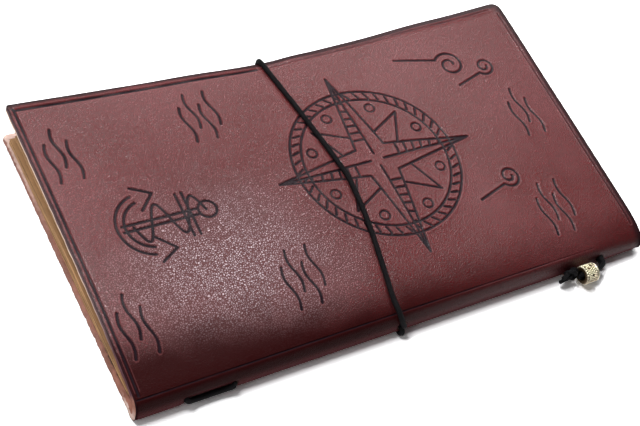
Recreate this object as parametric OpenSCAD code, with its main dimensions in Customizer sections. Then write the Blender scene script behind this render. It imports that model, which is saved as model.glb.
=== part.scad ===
// Refillable leather journal: a one-piece leather wrap folded round two stitched booklets, held shut
// by an elastic loop. X runs along the spine, Y from the spine to the fore edge, Z up. The origin is
// the middle of the whole thing on the surface that it lies on.

/* [Leather wrap] */
// Length of the covers along the spine
cover_l = 220; // [180:1:260]
// Width of a cover from the crease to the fore edge
cover_w = 121; // [100:1:150]
// Thickness of the leather
leather_t = 2.8; // [2:0.1:3.2]
// Height of the crease between spine and front cover
spine_h = 10; // [9:0.1:14]
// Outer radius of the fold between spine and back cover
fold_r = 3.2; // [3.2:0.1:4]
// How far the spine bulges out past the crease
spine_bulge = 2; // [0.8:0.1:2.4]
// Corner radius at the head end of the covers
head_corner_r = 4; // [1:0.5:10]
// Corner radius at the tail end of the covers
tail_corner_r = 0.8; // [0.5:0.1:10]

/* [Front cover's bow] */
// Height that the cover gains just past the crease
shoulder_h = 3.2; // [2:0.1:4]
// Crown of the cover at the middle of its width, on the centre line
crown_h = 2.9; // [0:0.1:5]
// How far the elastic presses the fore edge down
pinch_h = 1; // [0:0.1:1.5]
// Lift of the free corners above the crease
corner_lift = 9.6; // [8:0.1:14]
// Extra fullness of the tail edge
tail_fullness = 2; // [0:0.1:4]

/* [Tooling] */
// Width of a tooled line at the surface
tool_w = 1.3; // [0.8:0.1:2]
// Depth of a tooled line
tool_d = 0.7; // [0.3:0.1:1]
// Distance of the border line from the fore edge and from the head edge
border_inset = 3; // [2:0.5:8]
// Distance of the border line from the tail edge
tail_border_inset = 2; // [1.5:0.1:8]
// Radius of the long points of the compass rose
rose_r = 43; // [30:1:46]
// Height of the anchor
anchor_h = 38; // [24:1:44]

/* [Booklets] */
// Length of a booklet
booklet_l = 215; // [160:1:218]
// Width of a booklet from its fold to its fore edge
booklet_w = 110; // [90:1:112]
// Thickness of both booklets together near the fold
fold_stack_h = 3.8; // [3.4:0.1:4]
// Extra height of the stack's crown
stack_crown = 4.7; // [3:0.1:5]
// Step between the fore edges of the two booklets
booklet_step = 1.2; // [0:0.1:3]
// Lines between leaves that show on the cut edges of a booklet
leaf_lines = 4; // [0:1:6]
// Depth of those lines
leaf_line_d = 0.7; // [0.3:0.1:1.5]

/* [Elastics and bead] */
// Diameter of the elastic cord
cord_d = 2; // [1.5:0.1:2.2]
// Diameter of the cord where it is stretched inside the folds
thin_cord_d = 1.4; // [1.1:0.1:1.6]
// Diameter of a spine hole for one strand
hole_d = 2.5; // [2.3:0.1:3]
// Diameter of a spine hole for two strands
wide_hole_d = 4.2; // [4:0.1:4.4]
// Height of the spine holes
hole_z = 5; // [5:0.1:6]
// Distance of the head hole from the head end of the covers
head_hole_inset = 22; // [15:1:30]
// Distance of the outermost tail hole from the tail end of the covers
tail_hole_inset = 18.3; // [15:0.1:30]
// Distance between the two holes at the tail
tail_hole_pitch = 18; // [14:1:30]
// Place along the spine of the closure hole
closure_x = -6; // [-20:1:20]
// Outer diameter of the bead
bead_d = 8.6; // [6:0.1:9.8]
// Length of the bead
bead_l = 6; // [5:0.1:9]
// Diameter of the bead's bore
bead_bore_d = 4.2; // [4:0.1:4.6]
// Distance from the head hole to the middle of the bead
bead_reach = 8.5; // [7.5:0.5:12]

/* [Hidden] */
$fn = 48;
head_hole_x = cover_l / 2 - head_hole_inset;
tail_hole_x = -cover_l / 2 + tail_hole_inset;
inner_hole_x = tail_hole_x + tail_hole_pitch;
cord_r = cord_d / 2;
thin_r = thin_cord_d / 2;
cord_gap = 0.1;
loop_proud = cord_d + cord_gap;
bead_gap = 0.1;
// The whole thing is centred on the origin, from the bead to the elastic round the fore edge.
depth_all = loop_proud + cover_w + spine_bulge + bead_gap + bead_d;
fore_y = depth_all / 2 - loop_proud;
crease_y = fore_y - cover_w;

// The spine wall is an arc that starts upright on the fold and leans in to the crease.
wall_h = spine_h - fold_r;
wall_r = (spine_bulge * spine_bulge + wall_h * wall_h) / (2 * spine_bulge);
wall_lean = asin(wall_h / wall_r);
fold_s = fold_r - spine_bulge;
rise_angle = 27;
// The crease is a mitre that halves the angle between spine wall and cover.
mitre_angle = (rise_angle - 90 - wall_lean) / 2;
mitre_l = leather_t / sin(mitre_angle + 90 + wall_lean);
mitre_dir = [cos(mitre_angle), sin(mitre_angle)];
mitre_gap = 0.25;

// Bow of the front cover. s is the distance from the crease, x the place along the spine.
shoulder_s = 4.5;
pinch_soft = 0.06;
end_power = 0.85;
function mid_rise(s) = shoulder_h * (1 - exp(-s / shoulder_s))
    + crown_h * sin(180 * pow(s / cover_w, 1.15)) - pinch_h * pow(s / cover_w, 2);
function end_rise(s, x) = corner_lift * pow(s / cover_w, end_power)
    + (x < 0 ? tail_fullness * sin(180 * pow(s / cover_w, 0.6)) : 0);
function end_share(x) = let (t = min(1, abs(x) / (cover_l / 2)))
    (sqrt(t * t + pinch_soft * pinch_soft) - pinch_soft) / (sqrt(1 + pinch_soft * pinch_soft) - pinch_soft);
function cover_top(x, s) = spine_h + (1 - end_share(x)) * mid_rise(s) + end_share(x) * end_rise(s, x);
function at(x, s, z) = [x, crease_y + s, z];
function on_cover(x, s) = at(x, s, cover_top(x, s));

// Meshes swept along a path: every ring has the same number of points.
function flat(list) = [for (part = list) for (item = part) item];
function unit(v) = v / norm(v);
function wrap(i, n, closed) = closed ? (i + n) % n : max(0, min(n - 1, i));
function tangent(path, i, closed) = unit(path[wrap(i + 1, len(path), closed)]
    - path[wrap(i - 1, len(path), closed)]);
function ring_faces(rings, m, closed) = concat(
    flat([for (i = [0 : rings - (closed ? 1 : 2)]) flat([for (k = [0 : m - 1])
        let (a = i * m + k, b = i * m + (k + 1) % m)
        let (c = ((i + 1) % rings) * m + k, d = ((i + 1) % rings) * m + (k + 1) % m)
        [[a, c, d], [a, d, b]]])]),
    closed ? [] : [[for (k = [0 : m - 1]) k], [for (k = [0 : m - 1]) rings * m - 1 - k]]);

// A cord with elliptic rings: wide is the half width along side, high the half height across it.
sides = 8;
function ring(p, t, side, wide, high) = let (a = unit(side - (side * t) * t), b = cross(t, a))
    [for (k = [0 : sides - 1]) p + wide * cos(360 * k / sides) * a + high * sin(360 * k / sides) * b];
module cord(path, side, wide, high) {
    rings = [for (i = [0 : len(path) - 1]) ring(path[i], tangent(path, i, false), side, wide[i], high[i])];
    polyhedron(points = flat(rings), faces = ring_faces(len(path), sides, false));
}

// Straight stretch of a route, without its last point
function stretch(a, b, n) = [for (k = [0 : n - 1]) a + (b - a) * k / n];
// Quarter bend in a level plane, from angle a0 on, without its first point
function bend(c, r, a0, turn, n) = [for (k = [1 : n]) let (a = a0 + turn * k / n) c + r * [cos(a), sin(a), 0]];

// Stack of booklets: crown above the back cover, and the plane between the two
seat_z = leather_t;
nose_s = 6.5;
stack_gap = 0.1;
function stack_top(s) = seat_z + fold_stack_h + stack_crown * sin(180 * s / (1.075 * cover_w));
function stack_mid(s) = (seat_z + stack_top(s)) / 2;
// The cord lies in each booklet's gutter.
gutter_s = 11;
gutter_bend = 4;
gutter_play = 0.15;
lower_gutter_z = (seat_z + stack_mid(gutter_s)) / 2;
upper_gutter_z = (stack_mid(gutter_s) + stack_top(gutter_s)) / 2;
strand_z = 0.95;
// The strands thin out in the holes and in the bead, where two lie side by side.
snug_r = 0.9;

// Places of the bead and the knot beside the spine
bead_s = -spine_bulge - bead_gap - bead_d / 2;
bead_z = bead_d / 2 + 0.05;
bead_x = head_hole_x - bead_reach;
knot_r = 0.8;
knot_x = bead_x - bead_l / 2 - 4;

module leather_color() { color([0.34, 0.14, 0.12]) children(); }
module paper_color() { color([0.78, 0.68, 0.45]) children(); }
module cord_color() { color([0.08, 0.07, 0.08]) children(); }

// Section of the back cover, fold and spine wall, in the plane of s and z
module wrap_section() {
    translate([fold_s, 0]) square([cover_w - fold_s, leather_t]);
    intersection() {
        translate([fold_s, fold_r]) difference() {
            circle(r = fold_r);
            circle(r = fold_r - leather_t);
        }
        translate([fold_s - fold_r, 0]) square([fold_r, fold_r]);
    }
    intersection() {
        translate([wall_r - spine_bulge, fold_r]) difference() {
            circle(r = wall_r, $fn = 96);
            circle(r = wall_r - leather_t, $fn = 96);
        }
        polygon([[-4, fold_r], [0, spine_h] - 4 * mitre_dir, [0, spine_h] + (mitre_l + 2) * mitre_dir,
            [leather_t + 2, fold_r]]);
    }
}

// Round hole through the spine wall
module spine_hole(x, d) {
    translate(at(x, -spine_bulge - 1, hole_z)) rotate([-90, 0, 0]) cylinder(d = d, h = leather_t + 2.5);
}

// What is cut away outside a rounded corner of a cover, for the corner towards +X and +Y
module corner_waste(r, z0, h) {
    translate([-r, -r, z0]) difference() {
        cube([r + 1, r + 1, h]);
        translate([0, 0, -1]) cylinder(r = r, h = h + 2);
    }
}

// Channel that the elastic has pressed into the underside, wider where it turns up at both edges
groove_r = 2.1;
groove_drop = 0.6;
mouth_r = 2.8;
mouth_l = 2.2;
module pressed_channel() {
    translate(at(closure_x, -spine_bulge - 1, -groove_drop)) rotate([-90, 0, 0])
        cylinder(r = groove_r, h = cover_w + spine_bulge + 2);
    for (s = [-spine_bulge - 1, cover_w - mouth_l])
        translate(at(closure_x, s, -groove_drop)) rotate([-90, 0, 0])
            cylinder(r = mouth_r, h = mouth_l + 1);
}

module back_cover_and_spine() leather_color() difference() {
    translate(at(-cover_l / 2, 0, 0)) rotate([90, 0, 90]) linear_extrude(cover_l) wrap_section();
    spine_hole(tail_hole_x, hole_d);
    spine_hole(inner_hole_x, hole_d);
    spine_hole(closure_x, wide_hole_d);
    spine_hole(head_hole_x, wide_hole_d);
    pressed_channel();
    translate([cover_l / 2, fore_y, 0]) corner_waste(head_corner_r, -1, leather_t + 2);
    translate([-cover_l / 2, fore_y, 0]) mirror([1, 0, 0]) corner_waste(tail_corner_r, -1, leather_t + 2);
}

// Bowed sheet of the front cover. Its underside turns from the mitre to straight down.
cols = 20;
rows = 12;
turn_s = 8;
function row_s(j) = mitre_gap + (cover_w - mitre_gap) * pow(j / rows, 1.6);
function col_x(i) = -cover_l / 2 + cover_l * i / cols;
function under(p, s) = let (k = max(0, 1 - s / turn_s), m = mitre_l * mitre_dir)
    p + [0, k * m.x, k * m.y - (1 - k) * leather_t];
module bowed_sheet() {
    top = [for (j = [0 : rows]) for (i = [0 : cols]) on_cover(col_x(i), row_s(j))];
    low = [for (j = [0 : rows]) for (i = [0 : cols]) under(on_cover(col_x(i), row_s(j)), row_s(j))];
    w = cols + 1;
    n = len(top);
    faces = concat(
        flat([for (j = [0 : rows - 1]) for (i = [0 : cols - 1])
            let (a = j * w + i, b = a + 1, c = a + w, d = c + 1)
            [[a, c, d], [a, d, b], [n + a, n + d, n + c], [n + a, n + b, n + d]]]),
        flat([for (j = [0 : rows - 1]) let (a = j * w, c = a + w, b = a + cols, d = c + cols)
            [[a, n + a, n + c], [a, n + c, c], [b, d, n + d], [b, n + d, n + b]]]),
        flat([for (i = [0 : cols - 1]) let (a = i, b = i + 1, c = rows * w + i, d = c + 1)
            [[a, b, n + b], [a, n + b, n + a], [c, n + c, n + d], [c, n + d, d]]]));
    polyhedron(points = concat(top, low), faces = faces);
}

// A tooled line: a groove of triangular section that follows the cover and runs out at open ends.
// path is a list of [x, s].
groove_rise = 0.3;
module tooled(path, closed = false, w = tool_w, d = tool_d) {
    n = len(path);
    rings = [for (i = [0 : n - 1])
        let (t = tangent(path, i, closed), side = [-t.y, t.x, 0], p = on_cover(path[i].x, path[i].y))
        let (fade = closed || (i > 0 && i < n - 1) ? 1 : 0.35, h = w / 2 * (1 + groove_rise / d))
        [p + h * fade * side + [0, 0, groove_rise], p - h * fade * side + [0, 0, groove_rise],
            p - [0, 0, d * fade]]];
    polyhedron(points = flat(rings), faces = ring_faces(n, 3, closed));
}
function line(a, b, step = 14) = let (n = max(2, ceil(norm(b - a) / step)))
    [for (k = [0 : n]) a + (b - a) * k / n];
function arc(c, r, a0, a1, n) = [for (k = [0 : n]) let (a = a0 + (a1 - a0) * k / n) c + r * [cos(a), sin(a)]];
function loop(c, r, n) = [for (k = [0 : n - 1]) c + r * [cos(360 * k / n), sin(360 * k / n)]];
function polar(c, r, a) = c + r * [cos(a), sin(a)];
// A place on the cover, from -1 at the tail to 1 at the head, and from 0 at the crease to 1 at the fore edge
function place(u, v) = [u * cover_l / 2, v * cover_w];

module border_line() {
    x0 = -cover_l / 2 + tail_border_inset;
    x1 = cover_l / 2 - border_inset;
    s1 = cover_w - border_inset;
    tooled(concat(line([x0, 4], [x0, s1 - 2]), line([x0 + 2, s1], [x1 - 4, s1]),
        line([x1, s1 - 4], [x1, 4])));
}

// Compass rose with a ring of small circles and a hatched band
rose_c = place(0.145, 0.512);
module compass_rose() {
    band = [0.7, 0.8] * rose_r;
    for (a = [0 : 90 : 270]) {
        tooled(line(polar(rose_c, 3, a), polar(rose_c, rose_r - 2, a)));
        for (side = [-1, 1]) {
            tooled(line(polar(rose_c, 9, a + 45 * side), polar(rose_c, rose_r, a)));
            tooled(line(polar(rose_c, rose_r * 0.63, a + 45), polar(rose_c, 14, a + 45 + 20 * side)));
        }
    }
    for (r = band) tooled(loop(rose_c, r, 28), true);
    for (a = [7.5 : 15 : 352.5]) tooled([polar(rose_c, band[0] + 1, a), polar(rose_c, band[1] - 1, a + 3)]);
    for (a = [22.5 : 45 : 337.5]) tooled(loop(polar(rose_c, 0.6 * rose_r, a), 2, 6), true, 1, 0.5);
}

// Anchor with a rope wound round its shank, upright towards the head
anchor_c = place(-0.664, 0.496);
module anchor() {
    top = anchor_c + [anchor_h / 2, 0];
    foot = anchor_c - [anchor_h / 2, 0];
    arm_r = anchor_h / 3;
    tooled(loop(top - [3.5, 0], 3.5, 10), true);
    for (side = [-1, 1]) tooled(line(top + [-7.2, 1.2 * side], foot + [2, 1.2 * side]));
    for (dx = [-10, -12.5]) tooled(line(top + [dx, -9], top + [dx, 9]));
    for (r = [arm_r, arm_r - 3]) tooled(arc(foot + [arm_r, 0], r, 105, 255, 12));
    for (side = [-1, 1]) {
        tip = foot + [arm_r + 5, side * (arm_r - 1)];
        tooled([tip - [7, -4 * side], tip]);
        tooled([tip, tip - [6, 6 * side]]);
    }
    tooled([for (k = [0 : 16]) [top.x - 4 - k * (anchor_h - 10) / 16, anchor_c.y + 7 * sin(45 * k)]]);
}

// Short wave strokes in groups, each group at a place and with a number of strokes
wave_groups = [[place(-0.33, 0.2), 4], [place(-0.38, 0.83), 4], [place(0.71, 0.18), 4],
    [place(0.84, 0.55), 3], [place(-0.89, 0.21), 3], [place(-0.88, 0.79), 3]];
wave_l = 17;
wave_step = 4.2;
module waves() {
    for (g = wave_groups) for (k = [0 : g[1] - 1])
        tooled([for (i = [0 : 3]) g[0] + [wave_step * (k - 1.5) + 0.9 * sin(120 * i),
            (k % 2 == 0 ? -3 : 3) + wave_l * (i / 3 - 0.5)]]);
}

// Wind scrolls: spirals that open into a straight tail, each with its place, size and direction
scrolls = [[place(0.65, 0.8), 6.5, 1], [place(0.78, 0.76), 4.5, -1], [place(0.6, 0.33), 5, -1]];
module wind_scrolls() {
    for (w = scrolls) tooled(concat(
        [for (k = [0 : 12]) w[0] + w[1] * (0.25 + 0.75 * k / 12) * [cos(42 * k), w[2] * sin(42 * k)]],
        [for (k = [1 : 3]) w[0] + w[1] * [cos(504) - 0.9 * k, w[2] * (sin(504) + 0.25 * k)]]));
}

module cover_outline() {
    translate([-cover_l / 2, crease_y - 1, 0]) cube([cover_l, cover_w + 1, 60]);
}

module front_cover() leather_color() difference() {
    bowed_sheet();
    border_line();
    compass_rose();
    anchor();
    waves();
    wind_scrolls();
    translate([cover_l / 2, fore_y, 0]) corner_waste(head_corner_r, 0, 60);
    translate([-cover_l / 2, fore_y, 0]) mirror([1, 0, 0]) corner_waste(tail_corner_r, 0, 60);
}

// Section of one booklet: a round folded nose, and a fore edge where the inner sheets stand out a little
creep = 0.6;
slices = 16;
function slice_s(k, s1) = nose_s + 2 + (s1 - nose_s - 2) * k / slices;
function booklet_section(low, high, s1) =
    let (z0 = low[0], z1 = high[0], zm = (z0 + z1) / 2)
    concat([for (k = [0 : 8]) [nose_s + 2 - 2 * sin(22.5 * k), zm + (z1 - z0) / 2 * cos(22.5 * k)]],
        [for (k = [1 : slices]) [slice_s(k, s1), low[k]]],
        [[s1 + creep, (low[slices] + high[slices]) / 2]],
        [for (k = [slices : -1 : 1]) [slice_s(k, s1), high[k]]]);

// Path that the cord takes into the fold, along the gutter and out again
module gutter(x0, x1, z) {
    r = thin_r + gutter_play;
    translate(at(x0 + gutter_bend, gutter_s, z)) rotate([0, 90, 0])
        cylinder(r = r, h = x1 - x0 - 2 * gutter_bend);
    for (e = [[x0, 0], [x1, 1]]) {
        translate(at(e[0] + (e[1] == 0 ? gutter_bend : -gutter_bend), gutter_s - gutter_bend, z))
            rotate([0, 0, e[1] == 0 ? 90 : 0]) rotate_extrude(angle = 90)
                translate([gutter_bend, 0]) circle(r = r);
        translate(at(e[0], nose_s - 1, z)) rotate([-90, 0, 0])
            cylinder(r = r, h = gutter_s - gutter_bend - nose_s + 1);
    }
}

// Thin slits between leaves, cut into the tail, the head and the fore edge alone
leaf_gap = 0.2;
module leaf_slits(low, high, s1) {
    x1 = booklet_l / 2;
    difference() {
        for (n = [1 : 1 : leaf_lines]) {
            mid = low + (high - low) * n / (leaf_lines + 1);
            translate(at(-x1 - 1, 0, 0)) rotate([90, 0, 90]) linear_extrude(booklet_l + 2)
                polygon(concat([for (k = [0 : slices]) [slice_s(k, s1), mid[k] - leaf_gap / 2]],
                    [[s1 + 2, mid[slices] - leaf_gap / 2], [s1 + 2, mid[slices] + leaf_gap / 2]],
                    [for (k = [slices : -1 : 0]) [slice_s(k, s1), mid[k] + leaf_gap / 2]]));
        }
        translate(at(-x1 + leaf_line_d, 0, 0)) cube([booklet_l - 2 * leaf_line_d, s1 - leaf_line_d, 60]);
    }
}

module booklet(low, high, s1, x0, z) paper_color() difference() {
    translate(at(-booklet_l / 2, 0, 0)) rotate([90, 0, 90]) linear_extrude(booklet_l)
        polygon(booklet_section(low, high, s1));
    gutter(x0, head_hole_x, z);
    leaf_slits(low, high, s1);
}
module lower_booklet() {
    s1 = nose_s + booklet_w;
    booklet([for (k = [0 : slices]) seat_z], [for (k = [0 : slices]) stack_mid(slice_s(k, s1)) - stack_gap / 2],
        s1, tail_hole_x, lower_gutter_z);
}
module upper_booklet() {
    s1 = nose_s + booklet_w - booklet_step;
    booklet([for (k = [0 : slices]) stack_mid(slice_s(k, s1)) + stack_gap / 2],
        [for (k = [0 : slices]) stack_top(slice_s(k, s1))], s1, inner_hole_x, upper_gutter_z);
}

// Route of the binding elastic: from the knot through the bead and the head hole, along the lower
// booklet's gutter, out and in again at the tail, and back through the upper booklet.
outer_s = -spine_bulge - cord_gap - cord_r;
function entry(x, z, zg) = [at(x, -0.2, z), at(x, 2, z + (zg - z) * 0.08), at(x, 4.6, z + (zg - z) * 0.8),
    at(x, gutter_s - gutter_bend, zg)];
function reverse(list) = [for (i = [len(list) - 1 : -1 : 0]) list[i]];
function head_entry(zs, zb, zg) = concat(
    [at(knot_x + 3.4, bead_s + 0.4, zb), at(bead_x - bead_l / 2, bead_s, zb), at(bead_x + bead_l / 2, bead_s, zb),
        at(head_hole_x - 2.4, bead_s + 0.5, zb + (zs - zb) * 0.3),
        at(head_hole_x - 0.5, bead_s + 1.6, zb + (zs - zb) * 0.75), at(head_hole_x, bead_s + 3.1, zs)],
    entry(head_hole_x, zs, zg));
function gutter_run(x0, z) = concat(
    bend(at(head_hole_x - gutter_bend, gutter_s - gutter_bend, z), gutter_bend, 0, 90, 3),
    stretch(at(head_hole_x - gutter_bend - 7, gutter_s, z), at(x0 + gutter_bend, gutter_s, z), 18),
    [at(x0 + gutter_bend, gutter_s, z)],
    bend(at(x0 + gutter_bend, gutter_s - gutter_bend, z), gutter_bend, 90, 90, 3));
tail_bight = [at(tail_hole_x + 0.5, outer_s + 0.4, hole_z), at(tail_hole_x + 2.5, outer_s - 0.1, hole_z - 0.4),
    at(tail_hole_x + 8, outer_s - 0.1, hole_z - 0.9), at(inner_hole_x - 8, outer_s - 0.1, hole_z - 0.9),
    at(inner_hole_x - 2.5, outer_s - 0.1, hole_z - 0.4), at(inner_hole_x - 0.5, outer_s + 0.4, hole_z)];
lower_head = head_entry(hole_z - strand_z, bead_z - strand_z, lower_gutter_z);
upper_head = head_entry(hole_z + strand_z, bead_z + strand_z, upper_gutter_z);
binding_route = concat(lower_head, gutter_run(tail_hole_x, lower_gutter_z),
    reverse([for (k = [0 : 2]) entry(tail_hole_x, hole_z, lower_gutter_z)[k]]), tail_bight,
    entry(inner_hole_x, hole_z, upper_gutter_z), reverse(gutter_run(inner_hole_x, upper_gutter_z)),
    reverse(upper_head));
function binding_r(p) = let (s = p.y - crease_y)
    s > nose_s - 0.5 ? thin_r : s > 3 ? 0.8 : p.x > 0 || s > -0.5 ? snug_r : cord_r;
module binding_elastic() cord_color() {
    r = [for (p = binding_route) binding_r(p)];
    cord(binding_route, [0, 0, 1], r, r);
}

// Overhand knot: the closed curve with three crossings, drawn flat in X and Z
knot_rings = 48;
function knot_core(a, k) = a * [2 * cos(2 * k), 0, 2 * sin(2 * k)];
function knot_point(a, k) = a * [(2 + cos(3 * k)) * cos(2 * k), sin(3 * k), (2 + cos(3 * k)) * sin(2 * k)];
module knot_curve(a, r) {
    path = [for (i = [0 : knot_rings - 1]) knot_point(a, 360 * i / knot_rings)];
    rings = [for (i = [0 : knot_rings - 1])
        ring(path[i], tangent(path, i, true), path[i] - knot_core(a, 360 * i / knot_rings), r, r)];
    polyhedron(points = flat(rings), faces = ring_faces(knot_rings, sides, true));
}

knot_size = 0.95;
knot_in = 1.9;
module binding_knot() cord_color() {
    translate(at(knot_x, bead_s + knot_in, bead_z)) union() {
        knot_curve(knot_size, 0.85);
        for (side = [-1, 1]) {
            tail = [[-2, 0, 1.2 * side], [-3, -0.4, 1.5 * side], [-4.1, -0.8, 1.4 * side],
                [-5.4, -1, 1.2 * side - 0.3]];
            cord(tail, [0, 0, 1], [0.7, 0.8, 0.85, 0.8], [0.7, 0.8, 0.85, 0.8]);
        }
    }
}

// Bead: a barrel with two plain rims, a granulated middle and a wide bore
rim_l = 1;
dot_rows = 4;
dots = 18;
module bead() color([0.83, 0.66, 0.36]) translate(at(bead_x, bead_s, bead_z)) rotate([0, 90, 0]) difference() {
    rotate_extrude() polygon([[bead_bore_d / 2, -bead_l / 2], [bead_d / 2 - 0.3, -bead_l / 2],
        [bead_d / 2, -bead_l / 2 + 0.3], [bead_d / 2, -bead_l / 2 + rim_l],
        [bead_d / 2 - 0.35, -bead_l / 2 + rim_l + 0.25], [bead_d / 2 - 0.1, 0],
        [bead_d / 2 - 0.35, bead_l / 2 - rim_l - 0.25],
        [bead_d / 2, bead_l / 2 - rim_l], [bead_d / 2, bead_l / 2 - 0.3],
        [bead_d / 2 - 0.3, bead_l / 2], [bead_bore_d / 2, bead_l / 2]]);
    for (row = [0 : dot_rows - 1]) for (k = [0 : dots - 1])
        rotate([0, 0, 360 / dots * (k + row % 2 / 2)])
            translate([bead_d / 2 + 0.05, 0, (row - (dot_rows - 1) / 2) * (bead_l - 2 * rim_l - 0.9) / (dot_rows - 1)])
                rotate([0, 90, 0]) cylinder(d = 0.7, h = 1.1, center = true, $fn = 6);
}

// Route of the closure elastic: out of the upper half of its hole, over the crease and the front
// cover, round the fore edge, back under the journal and into the lower half of the same hole.
// cross is where it lies on the cover: [s, x].
cross = [[6, -8.5], [14, -7], [24, -5], [34, -3], [44, -1.4], [53, -0.4], [58, 0], [66, -0.6], [76, -1.5],
    [86, -2.4], [96, -3.2], [106, -4], [114, -4.6]];
lift = cord_r + cord_gap + 0.05;
fore_s = cover_w + cord_gap + cord_r;
fore_x = closure_x + 0.6;
under_z = 0.72;
fore_top = cover_top(fore_x, cover_w);
closure_out = [at(closure_x, 2.6, hole_z + strand_z), at(closure_x, 0.3, hole_z + strand_z),
    at(closure_x, -spine_bulge - 0.2, hole_z + strand_z + 0.1), at(closure_x - 0.5, outer_s + 0.1, hole_z + 2.2),
    at(closure_x - 1.2, outer_s + 0.8, spine_h - 1.4), at(closure_x - 1.9, -1.2, spine_h + 0.55),
    at(closure_x - 2.3, 0.6, spine_h + 2.1)];
closure_over = [for (c = cross) if (c[0] < cover_w - 4)
    at(c[1], c[0], cover_top(c[1], c[0]) + lift + (c[0] < 10 ? 0.2 : 0))];
closure_round = [at(-5, cover_w - 1.5, fore_top + lift + 0.1), at(fore_x, cover_w + 0.4, fore_top + 1.12),
    at(fore_x, cover_w + 1, fore_top + 0.52), at(fore_x, fore_s, fore_top - 0.6),
    at(fore_x, fore_s, fore_top - 4), at(fore_x, fore_s, 4.5),
    at(closure_x + 0.4, fore_s, 2), at(closure_x + 0.3, cover_w + 0.35, 0.95),
    at(closure_x + 0.2, cover_w - 1.2, under_z)];
closure_under = [for (k = [1 : 12]) at(closure_x, cover_w * (1 - k / 12.6) - 1, under_z)];
closure_in = [at(closure_x, 1.8 - spine_bulge, under_z), at(closure_x, 0.3 - spine_bulge, 0.95),
    at(closure_x, -spine_bulge - 0.9, 1.7), at(closure_x, outer_s - 0.1, 3),
    at(closure_x, -spine_bulge - 0.2, hole_z - strand_z - 0.1),
    at(closure_x, 0.3, hole_z - strand_z), at(closure_x, 2.6, hole_z - strand_z)];
closure_route = concat(closure_out, closure_over, closure_round, closure_under, closure_in);
function in_hole(p) = p.y > outer_s + crease_y + 0.5 && p.y < crease_y + 3 && p.z > 3.6 && p.z < 6.6;
function below(p) = p.z < 0.9;
module closure_elastic() cord_color() cord(closure_route, [1, 0, 0],
    [for (p = closure_route) below(p) ? 1.3 : in_hole(p) ? snug_r : cord_r],
    [for (p = closure_route) below(p) ? 0.62 : in_hole(p) ? snug_r : cord_r]);

module closure_knot() cord_color()
    translate(at(closure_x, 4.2, hole_z + 0.15)) knot_curve(0.58, 0.5);

back_cover_and_spine();
front_cover();
lower_booklet();
upper_booklet();
binding_elastic();
binding_knot();
bead();
closure_elastic();
closure_knot();
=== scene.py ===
"""Dresses the leather journal: a tooled leather wrap, stitched booklets, elastics, knots and a bead.

The flat pieces are cut and tooled as flat blanks, as in the workshop, and then moulded to their shape.
A place on a blank is x along the spine, v across it (0 at the crease, cover width at the fore edge,
negative down the spine) and a depth under the outer side.
"""

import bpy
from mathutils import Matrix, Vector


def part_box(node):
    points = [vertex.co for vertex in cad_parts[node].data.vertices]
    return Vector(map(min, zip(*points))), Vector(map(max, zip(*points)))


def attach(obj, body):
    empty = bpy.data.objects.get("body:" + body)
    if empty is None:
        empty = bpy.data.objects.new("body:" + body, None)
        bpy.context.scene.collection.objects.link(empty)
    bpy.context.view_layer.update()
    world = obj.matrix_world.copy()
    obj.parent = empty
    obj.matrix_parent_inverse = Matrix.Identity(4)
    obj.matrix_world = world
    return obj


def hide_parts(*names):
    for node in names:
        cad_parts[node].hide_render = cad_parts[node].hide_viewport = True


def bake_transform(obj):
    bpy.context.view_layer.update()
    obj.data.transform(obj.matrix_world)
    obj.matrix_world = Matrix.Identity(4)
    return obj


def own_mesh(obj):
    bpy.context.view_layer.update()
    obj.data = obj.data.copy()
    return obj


bl_info = {
    "name": "Leather journal",
    "version": (1, 0, 0),
    "blender": (4, 5, 0),
    "location": "View3D > Sidebar > Journal",
    "description": "Builds a refillable leather journal piece by piece, with its materials and stage",
    "category": "Object",
}

import bmesh
import bpy
import numpy as np
from bpy.props import FloatProperty, FloatVectorProperty, IntProperty, PointerProperty
from mathutils import Matrix, Vector

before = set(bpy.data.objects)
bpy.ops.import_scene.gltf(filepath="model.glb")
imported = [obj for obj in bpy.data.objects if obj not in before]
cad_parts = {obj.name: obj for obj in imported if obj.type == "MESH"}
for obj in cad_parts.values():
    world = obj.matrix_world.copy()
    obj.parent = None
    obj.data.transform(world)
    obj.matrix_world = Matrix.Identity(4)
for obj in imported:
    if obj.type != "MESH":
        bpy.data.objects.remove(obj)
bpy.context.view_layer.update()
COVER_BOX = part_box("back_cover_and_spine")
MM = 0.001


# ---- sizes and colours

def length(name, text, default):
    return FloatProperty(name=name, description=text, default=default, min=0.0, max=0.5,
                         precision=5, subtype="DISTANCE", unit="LENGTH")


def colour(name, text, default):
    return FloatVectorProperty(name=name, description=text, default=default, size=3,
                               subtype="COLOR", min=0.0, max=1.0)


class JournalSizes(bpy.types.PropertyGroup):
    """Sizes of the journal"""
    rim_r: length("Rim radius", "Radius that the cut edges are rubbed to", 0.00045)
    tool_d: length("Tool depth", "Depth of a tooled line", 0.0005)
    sheets: IntProperty(name="Sheets", description="Folded sheets in one booklet", default=8,
                        min=2, max=12)
    seed: IntProperty(name="Seed", description="Seed of the deckled paper edges", default=7)


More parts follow.
